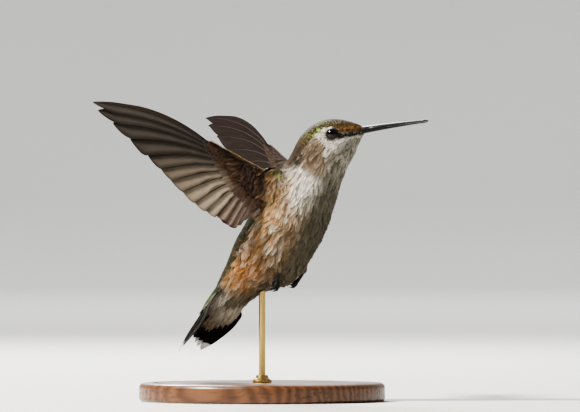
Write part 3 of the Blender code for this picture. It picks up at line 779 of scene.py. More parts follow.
def plumage(points, chart, wings):
    """Colours, gloss, spacing, depth and softness of the plumage at points on the skin; the colours include painted
    shade on the belly, the breast, the throat and the nape.
    """
    c = bpy.context.scene.hb_colours
    sizes = bpy.context.scene.hb_coat
    station = chart["station"]
    angle = chart["angle"]
    ahead, above = face_place(chart)
    from_eye = np.hypot(ahead, above)
    fine = speckle(points, 0.8)
    broad = speckle(points, 2.2, 3.0)
    wide = speckle(points, 5.0, 7.0)
    streaky = speckle(np.column_stack([angle / 7.0, station * 1.6, chart["side"] * 9.0]), 1.0, 2.0)

    # steps aft along the body, down its side and in the noises; bands across it and strips along it
    aft, down, flecks, blots, lines = (partial(ease, v) for v in (station, angle, fine, broad, streaky))
    band, strip = partial(bump_at, station), partial(bump_at, angle)
    beside = down(26, 44) * fade(angle, 148, 166)
    on_head = fade(station, 4.6, 5.6)

    # the line between the dark upper side and the pale under side
    border = catmull([64, 64, 62, 64, 66, 64, 54, 56, 60, 62, 64, 66, 70, 74], station)
    under = ease(angle + (broad - 0.5) * 22.0, border - 6.0, border + 6.0)
    crown_edge = 1.84 + 0.71 * (ahead + 1.5) + (fine - 0.5) * 0.9
    brow_line = 1.75 - (1.24 + 0.155 * ahead) * ease(ahead, 0.2, 2.2)
    crown = np.where(ahead > -1.0, ease(above - brow_line, -0.2, 0.2), ease(above - crown_edge, -0.3, 0.3))
    crown = np.maximum(crown, fade(angle, 26, 40))
    head_part = fade(station, 4.4, 5.4)
    under = under * (1.0 - head_part) + (1.0 - crown) * head_part

    flank = strip(90, 60) * aft(6.6, 7.8) * fade(station, 11.0, 11.9)
    # A slanting line down the breast and belly; the colour below it is darkened as painted shade.
    shade_slant = angle + station * 6.0
    blank = np.zeros((len(points), 3))
    pale = spread(
        blank + c.white,
        # painted shade: the under side of the belly greyed, partly the feathers' own grey, and the front of the
        # breast greyed
        (aft(6.6, 8.8) * down(100, 130) * 0.95, c.silver),
        (aft(3.8, 5.6) * down(112, 140) * 0.75, c.silver),
        (lines(0.46, 0.60) * aft(6.2, 7.8) * 0.85, c.silver),
        (ease(wide, 0.42, 0.62) * aft(7.0, 8.4) * 0.7, c.silver),
        # painted shade: olive grey, then dark brown, below the slanting line
        (ease(shade_slant, 164, 188) * aft(3.5, 5.5) * fade(station, 10.6, 11.6) * 0.6, c.streak),
        (ease(shade_slant, 166, 190) * aft(4.5, 6.5) * fade(station, 10.2, 11.2) * 0.38, c.dusk),
        # painted shade low on the belly near the feet, broken by mottling
        (band(9.3, 2.0) * down(104, 130) * (0.35 + 0.4 * blots(0.4, 0.6)), c.streak),
        (flank * (0.7 + 0.9 * wide), c.buff),
        (flank * lines(0.46, 0.60) * 0.75, c.brown),
        (band(9.2, 2.4) * strip(108, 34) * (0.25 + 0.6 * blots(0.40, 0.60)), c.cheek),
        (band(9.3, 2.3) * strip(106, 40) * lines(0.44, 0.58) * 0.8, c.brown),
        (flank * flecks(0.56, 0.66) * 0.6, c.white),
        (band(7.2, 2.0) * fade(angle, 80, 100) * 0.8, c.buff),
        (band(7.6, 1.6) * fade(angle, 76, 98) * lines(0.44, 0.58) * 0.5, c.brown),
        (band(10.1, 1.7) * strip(92, 52) * (0.25 + 1.0 * broad), c.rust),
        (band(8.9, 1.6) * strip(80, 26) * blots(0.42, 0.62) * 0.4, c.rust),
        (band(6.5, 1.5) * fade(angle, 66, 92) * lines(0.44, 0.58) * 0.6, c.brown),
        (aft(11.4, 12.6) * (0.25 + 0.6 * lines(0.44, 0.62)), c.silver),
        (aft(12.0, 12.9) * (0.25 + 0.4 * streaky), c.streak),
    )
    back = spread(
        blank + c.green,
        (flecks(0.48, 0.62) * 0.55, c.dusk),
        (blots(0.56, 0.72) * 0.25, c.bronze),
        (down(14, 38) * (0.62 + 0.36 * blots(0.38, 0.56)), c.dusk),
        (down(40, 58) * lines(0.50, 0.62) * 0.7, c.brown),
        (fade(station, 3.4, 5.8) * 0.97, c.dusk),
        (band(5.2, 1.9) * 0.75, c.brown),
    )
    tint = spread(back, (under, pale))
    edge = spread(
        blank + c.bronze,
        (fade(station, 0.8, 2.6) * 0.85, c.cinnamon),
        (aft(6.0, 7.5) * 0.62, c.green),
        (aft(3.0, 4.6) * fade(station, 6.2, 7.4) * 0.65, c.brown),
        (aft(6.0, 8.0) * flecks(0.55, 0.66) * 0.5, c.rust),
        (aft(5.5, 7.0) * down(14, 38) * (0.95 - 0.6 * flecks(0.55, 0.62)), c.dusk),
        (under, np.clip(pale * 1.18 + 0.02, 0, 1)),
    )

    # the face, painted from the broad areas to the sharp marks
    face = on_head * beside * under
    throat = on_head * down(112, 136)
    streaks = ease(speckle(chart["plain"] * np.array((0.45, 1.0, 0.45)), 0.62, 5.0), 0.50, 0.60)
    cheek = face * fade(ahead + 0.15 * above, -2.2, -1.2) * fade(angle + (broad - 0.5) * 20.0, 112, 132)
    ear = bump_at(ahead, -3.6, 3.3) * bump_at(above + 0.12 * ahead, -3.1, 1.9) * beside * (0.55 + 0.9 * streaky)
    spots = flecks(0.50, 0.60) * on_head * beside * under
    spots = spots * bump_at(ahead, -5.6, 4.6) * bump_at(above, -5.4, 4.6)
    # painted shade on the nape below the rear edge of the crown, broken by dark flecks
    nape_shade = bump_at(np.hypot(ahead + 9.0, above + 3.0), 0.0, 5.2) * (0.50 + 0.9 * flecks(0.42, 0.55))
    collar = band(4.9, 0.7) * strip(112, 42) * blots(0.35, 0.6) * 0.6
    spot_white = bump_at(ahead + above * 0.4, -2.0, 0.95) * bump_at(above, 0.1, 1.7) * beside
    crescent = bump_at(from_eye, 1.95, 0.55) * ease(-above, 0.5, 1.3) * beside
    middle = -0.42 - 0.04 * ahead
    half = np.maximum(0.98 - 0.115 * ahead, 0.22)
    lore = ease(ahead, 0.9, 1.6) * fade(np.abs(above - middle), half - 0.2, half + 0.25) * beside
    brow = ease(ahead, 0.0, 1.6) * bump_at(above - 1.35 + 0.14 * ahead, 0.0, 1.1) * down(22, 38)
    fleck = bump_at(ahead, -2.9, 3.6) * bump_at(above - 0.35 * ahead, 3.1, 1.5) * flecks(0.40, 0.52)
    gold = band(6.6, 1.2) * strip(62, 20) * ease(speckle(points, 0.5, 4.0), 0.60, 0.66)
    ring = fade(from_eye, 1.35, 1.50) * beside
    marks = (
        # painted shade: the front of the throat greyed
        (on_head * down(98, 132) * 0.6, c.silver),
        (throat * streaks * 0.75, c.streak),
        (face * ease(-above, 1.6, 3.2) * ease(streaks, 0.2, 0.9) * 0.55, c.streak),
        (cheek * (0.72 + 0.4 * fine), c.cheek),
        (ear * (0.30 + 0.6 * flecks(0.40, 0.58)), c.brown),
        (spots * 0.85, c.brown),
        (collar * 1.2, c.cheek),
        (brow * (0.30 + 0.45 * flecks(0.45, 0.6)), c.cinnamon),
        (fleck * ease(speckle(points, 0.45, 6.0), 0.46, 0.56) * 0.9, c.flash),
        (nape_shade * 0.9, c.dusk),
        (gold * 0.9, c.flash),
        (crescent * 0.9, c.white),
        (spot_white * 1.4, c.white),
        (ring * 0.9, c.lore),
        (lore, c.lore),
    )
    tint = spread(tint, *marks)
    faint = ((mask * 0.9, tone) for mask, tone in marks)
    edge = spread(edge, *faint, (nape_shade, c.dusk), (brow * (1.0 - lore) * 0.9, c.cinnamon))
    gloss = (1.0 - under) * (0.30 + 0.6 * flecks(0.42, 0.66)) * (1.0 - lore) * (1.0 - 0.7 * brow)
    gloss = gloss * (0.25 + 0.75 * aft(4.0, 7.0)) * (1.0 - 0.5 * down(36, 56))
    soft = np.where((under > 0.35) | (spot_white * under > 0.2), SILK, SCALE)
    soft = np.where((lore > 0.4) | (station < 0.5), SCALE, soft)
    soft = np.where((station > 12.9) | ((station > 12.2) & (under < 0.5)), LANCE, soft)

    spacing = [0.32, 0.40, 0.52, 0.58, 0.58, 0.64, 0.70, 0.76, 0.80, 0.82, 0.80, 0.78, 0.80, 0.84]
    spacing = catmull(spacing, station)
    spacing = spacing * (1.0 - 0.42 * fade(from_eye, 2.0, 3.8) * beside)
    depth = sizes.face_depth + (sizes.depth - sizes.face_depth) * aft(1.0, 6.5)
    lie = chart["tailward"]

    for wing, share in wings:
        p, q, lift = wing.locate(points)
        amount = share[:, None]
        lie = unit(lie * (1.0 - amount) + remex_heading(wing, p) * amount)
        top = ease(lift, 0.5, 1.3)
        wing_tint = spread(
            blank + c.covert,
            (top * fade(p, -6.0, 2.0) * 0.4, c.green),
            (top * flecks(0.45, 0.60) * 0.6, c.dusk),
            ((1.0 - top) * fade(p, -8.5, -3.0) * (0.12 + 0.45 * broad), c.rust),
            ((1.0 - top) * flecks(0.52, 0.64) * 0.7 * ease(p, -9.0, -5.5), c.dusk),
            (fade(p, -9.5, -5.5) * (0.30 + 0.6 * blots(0.40, 0.58)), c.buff),
            (fade(p, -9.5, -7.0) * ease(speckle(points, 0.5, 4.0), 0.56, 0.62) * 0.8, c.flash),
            ((1.0 - top) * ease(speckle(points, 0.7, 9.0), 0.58, 0.68) * 0.15, c.buff),
            (fade(q, -0.9, 0.1) * 0.7, c.dusk),
        )
        wing_edge = spread(wing_tint * 1.2 + 0.005, (top * 0.15, c.bronze))
        tint = tint * (1.0 - amount) + wing_tint * amount
        edge = edge * (1.0 - amount) + wing_edge * amount
        gloss = gloss * (1.0 - share) + share * top * 0.4
        soft = np.where(share > 0.8, LANCE, soft)
        spacing = spacing * (1.0 - share) + share * ARM_SPACING
        depth = depth * (1.0 - share) + share * ARM_DEPTH
    return {"tint": np.clip(tint, 0, 1), "edge": np.clip(edge, 0, 1), "gloss": np.clip(gloss, 0, 1),
            "spacing": spacing, "depth": depth, "soft": soft, "lie": lie}


def remex_heading(wing, p):
    """The way the flight feathers point at places along the span."""
    index = np.clip((p + 6.2) / 17.4 * (REMIGES - 1), 0, REMIGES - 1)
    way = np.zeros((len(p), 2))
    for number in range(REMIGES):
        root, bow, tip = remex_line(number)
        near = np.maximum(0.0, 1.0 - np.abs(index - number))[:, None]
        way += near * unit(bow * 0.5 + tip * 0.5 - root)
    way = unit(way)
    return unit(way[:, :1] * wing.spanwise + way[:, 1:] * wing.chordwise)


def wing_shares(points, chart):
    """How far each point belongs to each wing."""
    shares = []
    for side in SIDES:
        wing = WingPlane(side)
        p, _, lift = wing.locate(points)
        near = ease(p, -12.5, -8.5) * fade(np.abs(lift - 0.5), 3.5, 4.5)
        own = (points[:, 1] * wing.sign > 3.0) & (chart["station"] > 4.0)
        shares.append((wing, ease(chart["reach"], 1.06, 1.30) * near * own))
    return shares


# ---- skin


FLESH = ["head", "neck", "breast", "belly", "rump", "undertail"]
FLESH += [f"wing_{side}_{part}" for side in SIDES for part in ("arm", "hand")]
SKIN_SWELL = 0.24
SKIN_VOXEL = 0.34
SHARED = {}


def add_blob(joined, centre, half_axes, subdivisions=3, radius=1.0):
    """Adds a ball at a place in millimetres, with half axes in metres."""
    matrix = Matrix.Translation(Vector(centre) * MM) @ Matrix.Diagonal((*half_axes, 1.0))
    bmesh.ops.create_icosphere(joined, subdivisions=subdivisions, radius=radius, matrix=matrix)


def make_skin():
    """One closed skin through all the flesh, under the feathers by the coat's depth."""
    joined = bmesh.new()
    for name in FLESH:
        shape = bmesh.new()
        shape.from_mesh(frame["nodes"][name].data)
        bmesh.ops.remove_doubles(shape, verts=shape.verts, dist=1e-6)
        shape.normal_update()
        for vert in shape.verts:
            vert.co += vert.normal * SKIN_SWELL * MM
        mesh = bpy.data.meshes.new(name + "_flesh")
        shape.to_mesh(mesh)
        shape.free()
        joined.from_mesh(mesh)
        bpy.data.meshes.remove(mesh)
    for side, sign in SIDES.items():  # thigh, shoulder and orbit
        add_blob(joined, LEGS[side][0], (0.0014, 0.0012, 0.0016))
        add_blob(joined, (6.6, sign * 7.4, 53.0), (0.0042, 0.0022, 0.0048))
        centre, way = eye_axis(sign)
        add_blob(joined, centre - way * 0.62, (1.0, 1.0, 1.0), subdivisions=4, radius=2.35 * MM)
    mesh = bpy.data.meshes.new("plumage_skin")
    joined.to_mesh(mesh)
    joined.free()
    skin = new_object("plumage_skin", mesh)
    remesh = skin.modifiers.new("one_skin", "REMESH")
    remesh.mode = "VOXEL"
    remesh.voxel_size = SKIN_VOXEL * MM
    relax = skin.modifiers.new("relax", "SMOOTH")
    relax.factor = 0.6
    relax.iterations = 9
    bake_modifiers(skin)
    points = read_points(skin.data)
    trunk = Trunk()
    chart = trunk.chart(points)
    coat = plumage(points, chart, wing_shares(points, chart))
    points = points - read_normals(skin.data) * (SKIN_SWELL * 0.8 + coat["depth"])[:, None]
    skin.data.vertices.foreach_set("co", (points * MM).astype(np.float32).ravel())
    skin.data.update()
    write_attribute(skin.data, "tint", opaque(coat["tint"]))
    write_attribute(skin.data, "smooth_normal", read_normals(skin.data))
    skin.data.shade_smooth()
    SHARED.update(skin=skin, trunk=trunk)
    settle(skin, finish("down_skin", skin_finish), "plumage_pale", *FLESH)


# ---- contour feathers


PATCH = 0.003
CELL = 0.7
SHANK = 6.6  # about the square of a shank's length
COAT_REGIONS = (  # piece, first and last station, slot
    ("coat_head", -1.0, 4.2, "plumage_crown"),
    ("coat_neck", 4.2, 7.0, "plumage_pale"),
    ("coat_breast", 7.0, 9.0, "plumage_pale"),
    ("coat_belly", 9.0, 10.9, "plumage_flank"),
    ("coat_rump", 10.9, 99.0, "plumage_green"),
    ("coat_arms", -1.0, 99.0, "plumage_green"),
)


def scale_feather(name, rows=7, columns=5, narrow=0.0):
    """A compact rounded feather one unit long and two units wide; its tip rides a little high."""
    v = np.linspace(0.0, 1.0, rows)
    u = np.linspace(-1.0, 1.0, columns)
    start = 0.55 - 0.25 * narrow
    points = []
    for row in v:
        past = max(0.0, (row - start) / (1.0 - start))
        width = 0.30 + 0.70 * min(1.0, row / 0.5) ** 0.8
        width *= max(0.0, 1.0 - past ** (2.2 - 0.7 * narrow)) ** (0.5 + 0.3 * narrow)
        for column in u:
            height = 0.012 + 0.085 * row**1.3 - 0.045 * column**2 * width
            points.append((column * max(width, 0.05), row, height))
    return build_mesh(name, np.array(points) / MM, grid_faces(rows, columns, flip=True),
                      along=np.repeat(v, columns), across=np.tile(u, rows))


def silk_feather(name, seed, pairs=13, loose=1.0):
    """A loose feather: a short vane with barbs that part towards their ends."""
    rng = np.random.default_rng(seed)
    bundle = Bundle()
    v = np.linspace(0.0, 0.66, 4)
    u = np.array((-1.0, 0.0, 1.0))
    core = []
    for row in v:
        width = 0.28 + 0.42 * math.sin(math.pi * min(1.0, row / 0.7) * 0.5)
        core += [(column * width, row, 0.012 + 0.07 * row - 0.05 * column**2) for column in u]
    bundle.add(np.array(core) / MM, grid_faces(4, 3, flip=True), along=np.repeat(v, 3), across=np.tile(u, 4))
    for k in range(pairs):
        for sign in (-1.0, 1.0):
            start = 0.12 + 0.74 * (k + rng.uniform(0.0, 0.8)) / pairs
            lean = math.radians(rng.uniform(10, 26) * loose + 14 * (1.0 - start))
            length = (0.46 + 0.28 * (1.0 - start)) * rng.uniform(0.8, 1.15)
            length = min(length, (rng.uniform(0.94, 1.1) - start) / math.cos(lean))
            way = np.array((math.sin(lean) * 1.8 * sign, math.cos(lean)))
            side = np.array((way[1], -way[0])) * 0.036
            lift = rng.uniform(0.05, 0.16) * (0.5 + start)
            root = np.array((0.02 * sign, start))
            middle = root + way * length * 0.55 + np.array((0.06 * sign, 0.0))
            tip = root + way * length * np.array((0.84, 1.0))
            flat = np.array([root - side * 0.7, root + side * 0.7, middle - side, middle + side, tip])
            height = (0.02, 0.02, lift * 0.7, lift * 0.7, lift)
            half = start + length * 0.5
            bundle.add(
                np.column_stack([flat, height]) / MM, [(0, 1, 3, 2), (2, 3, 4)],
                along=(start, start, half, half, 1.0), across=np.clip(flat[:, 0] * 0.8, -1, 1),
            )
    return bundle.build(name)


def feather_shapes():
    """Hidden patterns that the coat repeats, in name order."""
    shapes = bpy.data.collections.new("feather_shapes")
    bpy.context.scene.collection.children.link(shapes)
    for obj in (
        scale_feather("shape_0_scale"),
        silk_feather("shape_1_silk", 1),
        silk_feather("shape_2_silk", 2),
        silk_feather("shape_3_silk", 3, loose=1.3),
        scale_feather("shape_4_lance", rows=8, narrow=1.0),
    ):
        bpy.context.scene.collection.objects.unlink(obj)
        shapes.objects.link(obj)
    return shapes


class TreeBuilder:
    """Adds and links nodes of a geometry tree."""

    def __init__(self, name, **inputs):
        self.tree = bpy.data.node_groups.new(name, "GeometryNodeTree")
        for in_out in ("INPUT", "OUTPUT"):
            self.tree.interface.new_socket("Geometry", in_out=in_out, socket_type="NodeSocketGeometry")
        for key, kind in inputs.items():
            self.tree.interface.new_socket(key, in_out="INPUT", socket_type="NodeSocket" + kind)
        self.given = self.tree.nodes.new("NodeGroupInput").outputs

    def node(self, kind, *values, output=0, settings=None, **inputs):
        """A node with values for its first inputs in order and for others by name."""
        made = self.tree.nodes.new(kind)
        for key, value in (settings or {}).items():
            setattr(made, key, value)
        sockets = [socket for socket in made.inputs if socket.enabled]
        pairs = list(zip(sockets, values))
        for key, value in inputs.items():
            pairs.append((next(s for s in sockets if s.name == key.replace("_", " ")), value))
        for socket, value in pairs:
            if isinstance(value, bpy.types.NodeSocket):
                self.tree.links.new(value, socket)
            else:
                socket.default_value = value
        outputs = made.outputs if isinstance(output, str) else [socket for socket in made.outputs if socket.enabled]
        return outputs[output]

    def named(self, name, kind="FLOAT_VECTOR"):
        return self.node("GeometryNodeInputNamedAttribute", settings={"data_type": kind}, Name=name)

    def maths(self, operation, *values, output=0):
        return self.node("ShaderNodeVectorMath", *values, output=output, settings={"operation": operation})

    def store(self, geometry, name, value, kind, domain):
        return self.node("GeometryNodeStoreNamedAttribute", settings={"data_type": kind, "domain": domain},
                         Geometry=geometry, Name=name, Value=value)

    def nearest(self, skin, value):
        return self.node("GeometryNodeSampleNearestSurface", settings={"data_type": "FLOAT_VECTOR"},
                         Mesh=skin, Value=value)


def plumage_tree():
    """Repeats feather shapes on root points and lays them over the skin."""
    build = TreeBuilder("Plumage", Shapes="Collection", Skin="Object", Patch="Float", Material="Material")
    given = build.given
    position = build.node("GeometryNodeInputPosition")
    roots = build.store(given["Geometry"], "root", position, "FLOAT_VECTOR", "POINT")
    shapes = build.node("GeometryNodeCollectionInfo", Collection=given["Shapes"],
                        Separate_Children=True, Reset_Children=True)
    out = build.named("root_normal")
    turn = build.node("FunctionNodeAxesToRotation", settings={"primary_axis": "Z", "secondary_axis": "Y"},
                      Primary_Axis=out, Secondary_Axis=build.named("lie"))
    placed = build.node("GeometryNodeInstanceOnPoints", Points=roots, Instance=shapes, Pick_Instance=True,
                        Instance_Index=build.named("shape", "INT"), Rotation=turn, Scale=build.named("size"))
    real = build.node("GeometryNodeRealizeInstances", Geometry=placed)
    offset = build.maths("SUBTRACT", position, build.named("root"))
    height = build.maths("DOT_PRODUCT", offset, out, output="Value")
    skin = build.node("GeometryNodeObjectInfo", Object=given["Skin"], output="Geometry")
    near = build.nearest(skin, position)
    raised = build.maths("MULTIPLY_ADD", build.nearest(skin, build.named("smooth_normal")), height, near)
    laid = build.node("ShaderNodeMix", settings={"data_type": "VECTOR"}, Factor=build.named("wrap", "FLOAT"),
                      A=position, B=raised)
    shaped = build.node("GeometryNodeSetPosition", Geometry=real, Position=laid)
    corner = build.node("ShaderNodeCombineXYZ", build.named("across", "FLOAT"), build.named("along", "FLOAT"))
    local = build.maths("SCALE", build.maths("MULTIPLY", corner, (0.5, 1.0, 0.0)), given["Patch"])
    patch = build.maths("ADD", local, build.named("patch"))
    mapped = build.store(shaped, "OFBake", patch, "FLOAT2", "CORNER")
    smooth = build.node("GeometryNodeSetShadeSmooth", mapped, True, True)
    made = build.node("GeometryNodeSetMaterial", Geometry=smooth, Material=given["Material"])
    build.tree.links.new(made, build.tree.nodes.new("NodeGroupOutput").inputs[0])
    return build.tree


def grow(name, fields, points, slot):
    """Roots with their fields become one joined mesh of feathers."""
    look = finish("contour_feathers", contour_finish)
    roots = build_mesh(name, points, [], smooth=False, **fields)
    modifier = roots.modifiers.new("plumage", "NODES")
    modifier.node_group = SHARED["tree"]
    given = {"Shapes": SHARED["shapes"], "Skin": SHARED["skin"], "Patch": PATCH, "Material": look}
    for item in SHARED["tree"].interface.items_tree:
        if item.in_out == "INPUT" and item.name in given:
            modifier[item.identifier] = given[item.name]
    bake_modifiers(roots)
    for field in ("root_normal", "lie", "shape", "size", "wrap", "patch", "root"):
        if field in roots.data.attributes:
            roots.data.attributes.remove(roots.data.attributes[field])
    settle(roots, look, slot)


def scatter(points, triangles, spacing, rng, tries=11.0):
    """Evenly spread places on triangles; each keeps its own spacing from the rest."""
    corner = points[triangles]
    area = np.linalg.norm(np.cross(corner[:, 1] - corner[:, 0], corner[:, 2] - corner[:, 0]), axis=1) / 2
    local = spacing[triangles].mean(1)
    chosen = np.repeat(np.arange(len(triangles)), rng.poisson(area / local**2 * tries))
    rng.shuffle(chosen)
    share = rng.random((len(chosen), 2))
    over = share.sum(1) > 1.0
    share[over] = 1.0 - share[over]
    weights = np.column_stack([1.0 - share.sum(1), share])
    places = (corner[chosen] * weights[:, :, None]).sum(1)
    cells = {}
    kept = []
    for k, (x, y, z) in enumerate(places):
        reach = local[chosen[k]]
        span = 1 if reach <= CELL else 2
        home = (int(x // CELL), int(y // CELL), int(z // CELL))
        around = product(*(range(index - span, index + span + 1) for index in home))
        others = (place for key in around for place in cells.get(key, ()))
        if all((a - x) ** 2 + (b - y) ** 2 + (c - z) ** 2 >= reach * reach for a, b, c in others):
            cells.setdefault(home, []).append((x, y, z))
            kept.append(k)
    return places[kept], chosen[kept], weights[kept]


def make_coat():
    """Contour feathers of the head, trunk and arms, a piece for each region."""
    sizes = bpy.context.scene.hb_coat
    rng = np.random.default_rng(sizes.seed)
    skin = SHARED["skin"].data
    points = read_points(skin)
    skin.calc_loop_triangles()
    triangles = read(skin.loop_triangles, "vertices", np.int32)
    chart = SHARED["trunk"].chart(points)
    coat = plumage(points, chart, wing_shares(points, chart))
    places, chosen, weights = scatter(points, triangles, coat["spacing"], rng)
    normal = unit((read_normals(skin)[triangles[chosen]] * weights[:, :, None]).sum(1))

    chart = SHARED["trunk"].chart(places)
    wings = wing_shares(places, chart)
    coat = plumage(places, chart, wings)
    count = len(places)
    soft = coat["soft"]
    station = chart["station"]
    clear = face_place(chart)[0] < 8.2
    crowd = np.ones(count)
    ruffle = ease(station, 4.5, 7.0) * fade(station, 10.3, 11.8) * (soft > SCALE)
    swirl = np.radians((speckle(places, 2.6, 11.0) - 0.5) * 95.0 * ruffle + rng.normal(0.0, 5.0, count))
    lie = coat["lie"] * np.cos(swirl)[:, None] + np.cross(normal, coat["lie"]) * np.sin(swirl)[:, None]

    # round the eye the feathers part, shorten and follow the lids
    for sign in (1.0, -1.0):
        eye, way = eye_axis(sign)
        away = places - eye
        aside = away - way * (away @ way)[:, None]
        radius = np.linalg.norm(aside, axis=1)
        near = (away @ way > -0.5) & (np.linalg.norm(away, axis=1) < 6.0)
        clear &= ~(near & (radius < 1.30))
        lie += unit(aside) * (1.1 * near * fade(radius, 1.3, 2.6))[:, None]
        crowd = np.where(near, 0.42 + 0.58 * ease(radius, 1.4, 2.7), crowd)
    wing_part = np.zeros(count)
    outboard = np.full(count, -20.0)
    for wing, share in wings:
        wing_part = np.maximum(wing_part, share)
        p = wing.locate(places)[0]
        outboard = np.where(share > 0.0, p, outboard)
        clear &= ~((share > 0.4) & (p > 10.2))
    for top, heel, *_ in LEGS.values():  # bare shanks
        along = np.clip((places - top) @ (heel - top) / SHANK, 0.0, 1.0)
        gap = np.linalg.norm(places - (top + along[:, None] * (heel - top)), axis=1)
        clear &= gap > 0.42 + 0.33 * along
        crowd = crowd * (0.70 + 0.30 * ease(gap, 0.6, 1.6))
    lie = unit(lie - normal * (lie * normal).sum(1)[:, None])

    kind = partial(np.choose, soft.astype(int))
    spacing = coat["spacing"]
    shape = kind((0, rng.integers(1, 4, count), 4))
    tuft = 0.85 + 0.5 * ease(speckle(places, 1.7, 13.0), 0.45, 0.7) * (soft == SILK)
    length = spacing * sizes.length * rng.uniform(0.85, 1.15, count) * crowd * kind((0.88, 1.12, 1.45))
    width = spacing * sizes.width * rng.uniform(0.9, 1.1, count) * kind((0.95, 1.02, 0.80))
    width = width * (0.5 + 0.5 * crowd)
    height = kind((1.0, 1.35, 0.9)) * spacing * 2.4 * tuft * crowd
    vary = rng.uniform(0.64, 1.14, (count, 1))
    turn = chart["angle"] * chart["side"]
    free = 1.0 - ease(wing_part, 0.35, 0.9) * ease(outboard, -7.5, -5.0)
    fields = {
        "root_normal": normal,
        "lie": lie,
        "shape": shape,
        "size": np.column_stack([width, length, height]) * MM,
        "wrap": free * (1.0 - 0.4 * ease(station, 12.2, 12.9)),
        "tint": opaque(np.clip(coat["tint"] * vary, 0, 1)),
        "edge": opaque(coat["edge"]),
        "gloss": coat["gloss"],
        "seed": rng.random(count),
        "patch": np.column_stack([0.5 + turn / 400.0, 0.02 + 0.95 * station / 13.2, np.zeros(count)]),
    }
    arm = wing_part > 0.35
    SHARED["tree"] = plumage_tree()
    for name, start, end, slot in COAT_REGIONS:
        inside = clear & (arm == (name == "coat_arms")) & (station >= start) & (station < end)
        grow(name, {key: value[inside] for key, value in fields.items()}, places[inside], slot)


# ---- flight feathers


def remex_colours(index):
    """Vane and margin colours of a flight feather, darker towards the leading edge; the paler inner primaries are
    painted light shining through the thin vanes.
    """
    if index < len(SECONDARY_TIPS):
        return np.array(paint(0.33, 0.265, 0.24)), np.array(paint(0.62, 0.55, 0.50))
    share = (index - len(SECONDARY_TIPS)) / (len(PRIMARY_TIPS) - 1)
    # painted light: the inner primaries paler as if lit through their thin vanes
    inner = np.array(paint(0.52, 0.475, 0.415))
    outer = np.array(paint(0.20, 0.18, 0.165))
    tint = inner + (outer - inner) * ease(share, 0.0, 0.72)
    return tint, tint * 1.35 + 0.02


def rounded(v, start, power, sharp=0.55):
    """1 along a vane, rounded off to its tip from a start."""
    past = np.clip((v - start) / (1.0 - start), 0, 1)
    return np.maximum((1.0 - past**power) ** sharp, 0.02)


def vane_width(columns, inner, outer):
    return np.where(columns < 0, inner[:, None], outer[:, None])


def add_vane(vanes, grid, v, columns, **fields):
    vanes.add(grid.reshape(-1, 3), grid_faces(len(v), len(columns)), across=np.tile(columns, len(v)),
              along=np.repeat(np.clip(v, 0, 1), len(columns)), **fields)


def remex(wing, index, vanes, quills):
    """One flight feather of a wing: a cambered vane and its raised shaft."""
    sizes = bpy.context.scene.hb_flight
    line = remex_line(index)
    v = 1.0 - 1.04 * (1.0 - np.linspace(0.0, 1.0, sizes.rows)) ** 1.7
    shaft = on_line(line, v * 0.982)
    ahead = unit(np.gradient(shaft, axis=0))
    lead = np.column_stack([ahead[:, 1], -ahead[:, 0]])
    limit = 1.5 + 2.3 * ease(v, 0.3, 0.8)

    def gap(other):
        """Distance to another shaft, within reason."""
        return np.minimum(np.abs(((on_line(remex_line(other), v) - shaft) * lead).sum(1)), limit)

    behind = gap(index - 1.0) if index else np.minimum(1.3, limit)
    if index < REMIGES - 1:
        outer = 0.12 + 0.45 * gap(index + 1.0)
    else:
        outer = 0.42 + (0.38 if wing.sign < 0 else 1.0) * np.sin(np.pi * np.clip(v, 0, 1))
    if index >= REMIGES - 3:
        outer = outer * (1.0 - 0.25 * ease(v, 0.55, 0.75))
    square = 0.91 - 0.07 * float(ease(index, 10.0, 13.0))
    oblique = float(ease(index, 6.0, 9.0))
    outer = outer * rounded(v, square, 2.4)
    inner = behind * sizes.overlap + 0.15
    inner = inner * rounded(v, square - 0.05 * oblique, 2.4 - 0.9 * oblique, 0.55 + 0.3 * oblique)

    columns = np.linspace(-1.0, 1.0, 15)
    off = np.abs(columns)
    slant = off * np.where(columns < 0, 0.45, 0.30) * fade(v, 0.74, 0.98)[:, None]
    beside = (columns * vane_width(columns, inner, outer))[:, :, None]
    flat = shaft[:, None, :] + lead[:, None, :] * beside + ahead[:, None, :] * slant[:, :, None]
    lift = np.where(columns < 0, -0.30 * off**1.2, 0.16 * columns) * ease(v, -0.05, 0.2)[:, None]
    lift = lift + 0.10 * (1 - columns**2)
    ripple = 0.03 * np.sin(v[:, None] * 34.0 + off * 5.0 + index)
    grid = wing.point(flat[:, :, 0], flat[:, :, 1], lift + ripple * off)
    tint, edge = remex_colours(index)
    add_vane(vanes, grid, v, columns, seed=(index * 0.37) % 1.0,
             tint=np.append(tint, 1.0), edge=np.append(edge, 1.0))
    step = np.linspace(-0.04, 0.95, 22)
    middle = on_line(line, step)
    path = wing.point(middle[:, 0], middle[:, 1], 0.10)
    points, sides, _ = tube(path, 0.15 * (1.0 - 0.80 * np.clip(step, 0, 1)) + 0.01, sides=6)
    quills.add(points, sides)


def thicken(obj, thickness):
    """Gives an open vane a back face."""
    wall = obj.modifiers.new("thickness", "SOLIDIFY")
    wall.thickness = thickness * MM
    wall.offset = 0.0
    wall.use_even_offset = False
    bake_modifiers(obj)


def make_flight_feathers():
    """Primaries and secondaries of both wings."""
    for side in SIDES:
        wing = WingPlane(side)
        vanes = Bundle()
        quills = Bundle()
        for index in range(REMIGES):
            remex(wing, index, vanes, quills)
        piece = vanes.build(f"wing_{side}_vanes")
        thicken(piece, bpy.context.scene.hb_flight.thickness)
        write_attribute(piece.data, "top", read_normals(piece.data) @ wing.upper > 0.0)
        names = [f"wing_{side}_primary_{k:02d}" for k in range(1, len(PRIMARY_TIPS) + 1)]
        names.append(f"wing_{side}_secondaries")
        settle(piece, finish("flight_vanes", flight_finish), "flight_feather", *names)
        settle(quills.build(f"wing_{side}_quills"), finish("quills", quill_finish), "flight_feather")


